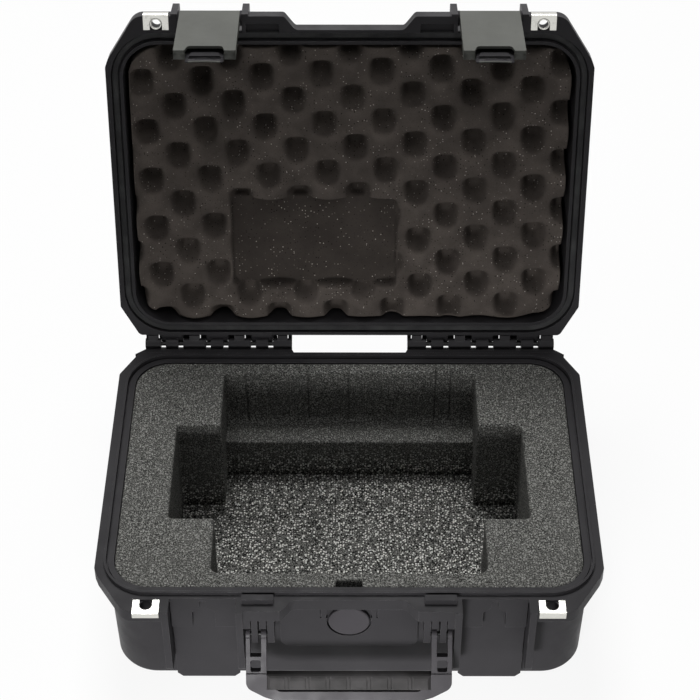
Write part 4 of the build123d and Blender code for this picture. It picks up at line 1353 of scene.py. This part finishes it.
        edge, floor, face = self.soft_edge, self.notch_floor, self.top - self.top_dip
        arc = [(edge * (1 - math.cos(turn)), edge * (1 - math.sin(turn)))
               for turn in np.linspace(0.0, 0.5 * np.pi, 6)]
        for z in (*np.linspace(self.bottom, floor, 5), floor + 0.3 * MM,
                  *np.linspace(floor + 8 * MM, self.top - edge, 4)):
            add(self.outer(angle, z), z)
        for inset, drop in arc[1:]:
            add(self.outer(angle, self.top) - radial * inset, self.top - drop)
        start, lip = loops[-1][:, :2], loop + normal * edge
        along, slant, across = self.top_waves
        for share in np.linspace(0.0, 1.0, 16)[1:]:
            plan = start + (lip - start) * share
            x, y = plan.T
            swell = self.top_swell * np.sin(along * x + slant * y) * np.cos(across * y)
            add(plan, face + swell * math.sin(math.pi * share))
        for inset, drop in arc[-2::-1]:
            add(loop + normal * inset, face - drop)
        high, step = face - edge, self.shelf_z + 1.0 * MM
        for share in np.linspace(0.0, 1.0, 9)[1:]:
            wave = np.sin(self.wall_wave * loop.sum(axis=1) + self.wall_turn * share)
            bulge = self.wall_swell * wave * math.sin(math.pi * share)
            add(loop + normal * bulge[:, None], high + (step - high) * share)
        low, shelf = self.lower(loop), self.shelf_z + self.shelf_rise
        for share, drop in self.shelf_edge:
            add(loop + (low - loop) * share, shelf - drop * MM)
        last = shelf - self.shelf_edge[-1][1] * MM
        for z in np.linspace(last, self.bottom, 6)[1:]:
            add(low, z)
        return lofted(np.stack(loops), closed=True)

    def pad(self) -> Skin:
        """The pad, a thin slab whose face is uneven by a product of a sine and a cosine.

        Returns:
            The surface.
        """
        draw = self.low_draw_x * (1 + self.bottom / self.top)
        shape = SlabShape(self.half_x - draw, self.half_y - self.low_draw_y, self.corner,
                          np.linspace(-1, 1, 61), np.linspace(-1, 1, 41))
        x, y = shape.plan()
        along, across = self.pad_waves
        swell = self.pad_swell * np.sin(along * x) * np.cos(across * y)
        height = self.bottom - self.pad_drop + swell
        return shape.skin(height, lambda share: np.ones((len(share), 2)),
                          np.array([self.bottom - 1 * MM, self.pad_bottom]))

    def build(self) -> None:
        """Builds block and pad and puts them in the base."""
        material = self.finishes.base_foam.material()
        for name, skin, node in (("base_foam_block", self.block(), "base_foam"),
                                 ("base_foam_bottom", self.pad(), "base_foam_pad")):
            piece = self.place(name, skin, "base", "base_foam", material, (node,))


@dataclass
class LidFoam(SubAssembly):
    """Egg-crate foam in the open lid, with a flat recess pressed into it."""

    half_x: float = 188.2 * MM
    half_y: float = 128.6 * MM
    corner: float = 28.0 * MM
    rim: float = 112.4 * MM
    below_rim: float = 0.6 * MM
    side_start: float = 27 * MM
    back: float = 160.1 * MM
    draw_x: float = 2.0 * MM
    draw_y: float = 4.0 * MM
    pitch: float = 51.2 * MM
    row_pitch: float = 45.8 * MM
    lattice_turn: float = -2.9
    lattice_x: float = 4.8 * MM
    lattice_y: float = -41.5 * MM
    swell: float = 10.0 * MM
    pit_depth: float = 14.0 * MM
    pit_reach_x: float = 12.0 * MM
    pit_reach_front: float = 7.0 * MM
    pit_reach_back: float = 18.0 * MM
    pit_floor: float = 0.35
    recess_x: float = -31.5 * MM
    recess_y: float = 55.3 * MM
    recess_half_x: float = 73.0 * MM
    recess_half_y: float = 43.0 * MM
    recess_depth: float = 16.0 * MM
    recess_corner: float = 6.0 * MM
    recess_wall: float = 1.6 * MM
    recess_swell: float = 0.25 * MM
    uneven: float = 0.07

    def crate(self, x: np.ndarray, y: np.ndarray) -> np.ndarray:
        """How deep the face lies under its tips.

        A gentle swell, the product of two cosines over the turned lattice, carries squarish pits
        at the lattice points. A pit's distance is the third root of the sum of the cubes of both
        offsets, each by the pit's reach that way, from the nearer of the two staggered grids, and
        a smooth step of that distance gives its wall. The reach towards the hinge is longer, so
        that side is a slope and the opposite one is steep.

        Args:
            x: X in the shut case.
            y: Y in the shut case.

        Returns:
            Depth from 0 at the tips.
        """
        turn = math.radians(self.lattice_turn)
        dx, dy = x - self.lattice_x, y - self.lattice_y
        u = (dx * math.cos(turn) + dy * math.sin(turn)) / self.pitch
        v = (-dx * math.sin(turn) + dy * math.cos(turn)) / self.row_pitch
        wave = 0.5 + 0.5 * np.cos(2 * np.pi * u) * np.cos(2 * np.pi * v)
        offsets = []
        for half in (0.0, 0.5):
            across = (u + half - np.round(u + half)) * self.pitch
            along = (v + half - np.round(v + half)) * self.row_pitch
            reach = np.where(along > 0, self.pit_reach_back, self.pit_reach_front)
            offsets.append(np.cbrt(np.abs(across / self.pit_reach_x) ** 3
                                   + np.abs(along / reach) ** 3))
        inside = np.clip((1.0 - np.minimum(*offsets)) / (1.0 - self.pit_floor), 0, 1)
        factor = 1 + self.uneven * np.sin(37 * x + 1.3) * np.cos(41 * y + 0.4)
        return (self.swell * wave + self.pit_depth * smooth(inside)) * factor

    def recess(self, x: np.ndarray, y: np.ndarray) -> np.ndarray:
        """Where the flat recess lies.

        The signed distance to a rounded rectangle is turned into a smooth step.

        Args:
            x: X in the shut case.
            y: Y in the shut case.

        Returns:
            1 inside the recess and 0 outside, with a steep soft wall.
        """
        dx = np.abs(x - self.recess_x) - (self.recess_half_x - self.recess_corner)
        dy = np.abs(y - self.recess_y) - (self.recess_half_y - self.recess_corner)
        outside = (np.hypot(np.maximum(dx, 0), np.maximum(dy, 0))
                   + np.minimum(np.maximum(dx, dy), 0))
        return smooth(np.clip((self.recess_corner - outside) / self.recess_wall + 0.5, 0, 1))

    def build(self) -> None:
        """Builds the foam face up, turns it face down into the shut lid and opens the lid."""
        shape = SlabShape(self.half_x, self.half_y, self.corner, np.linspace(-1, 1, 301),
                          np.linspace(-1, 1, 211))
        x, y = shape.plan()
        inside = self.recess(x, -y)
        floor = self.recess_depth + self.recess_swell * np.sin(80 * x) * np.sin(95 * y)
        depth = self.crate(x, -y) * (1 - inside) + floor * inside
        drawn = np.array([self.draw_x / self.half_x, self.draw_y / self.half_y])
        skin = shape.skin(-(self.rim + self.below_rim + depth),
                          lambda share: 1 - share[:, None] * drawn,
                          -np.linspace(self.rim + self.side_start, self.back, 5))
        skin = Hinge().opened(skin.moved((0.0, 0.0, 0.0), 180.0))
        piece = self.place("lid_foam_egg_crate", skin, "lid", "lid_foam",
                           self.finishes.lid_foam.material(), ("lid_foam",))
        pressed = np.zeros(len(skin.points), dtype=np.float32)
        pressed[:inside.size] = inside.ravel()
        mask = piece.data.attributes.new(PorousFoam.pressed_name, "FLOAT", "POINT")
        mask.data.foreach_set("value", pressed)


def main() -> None:
    """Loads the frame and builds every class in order."""
    logging.basicConfig(level=logging.INFO, format="%(message)s")
    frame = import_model()
    finishes = Finishes()
    Studio().build()
    for part in (Shells, Seal, Hardware, Latches, CarryHandle, PressureValve, BaseFoam, LidFoam):
        part(frame, finishes).build()


if __name__ == "__main__":
    main()
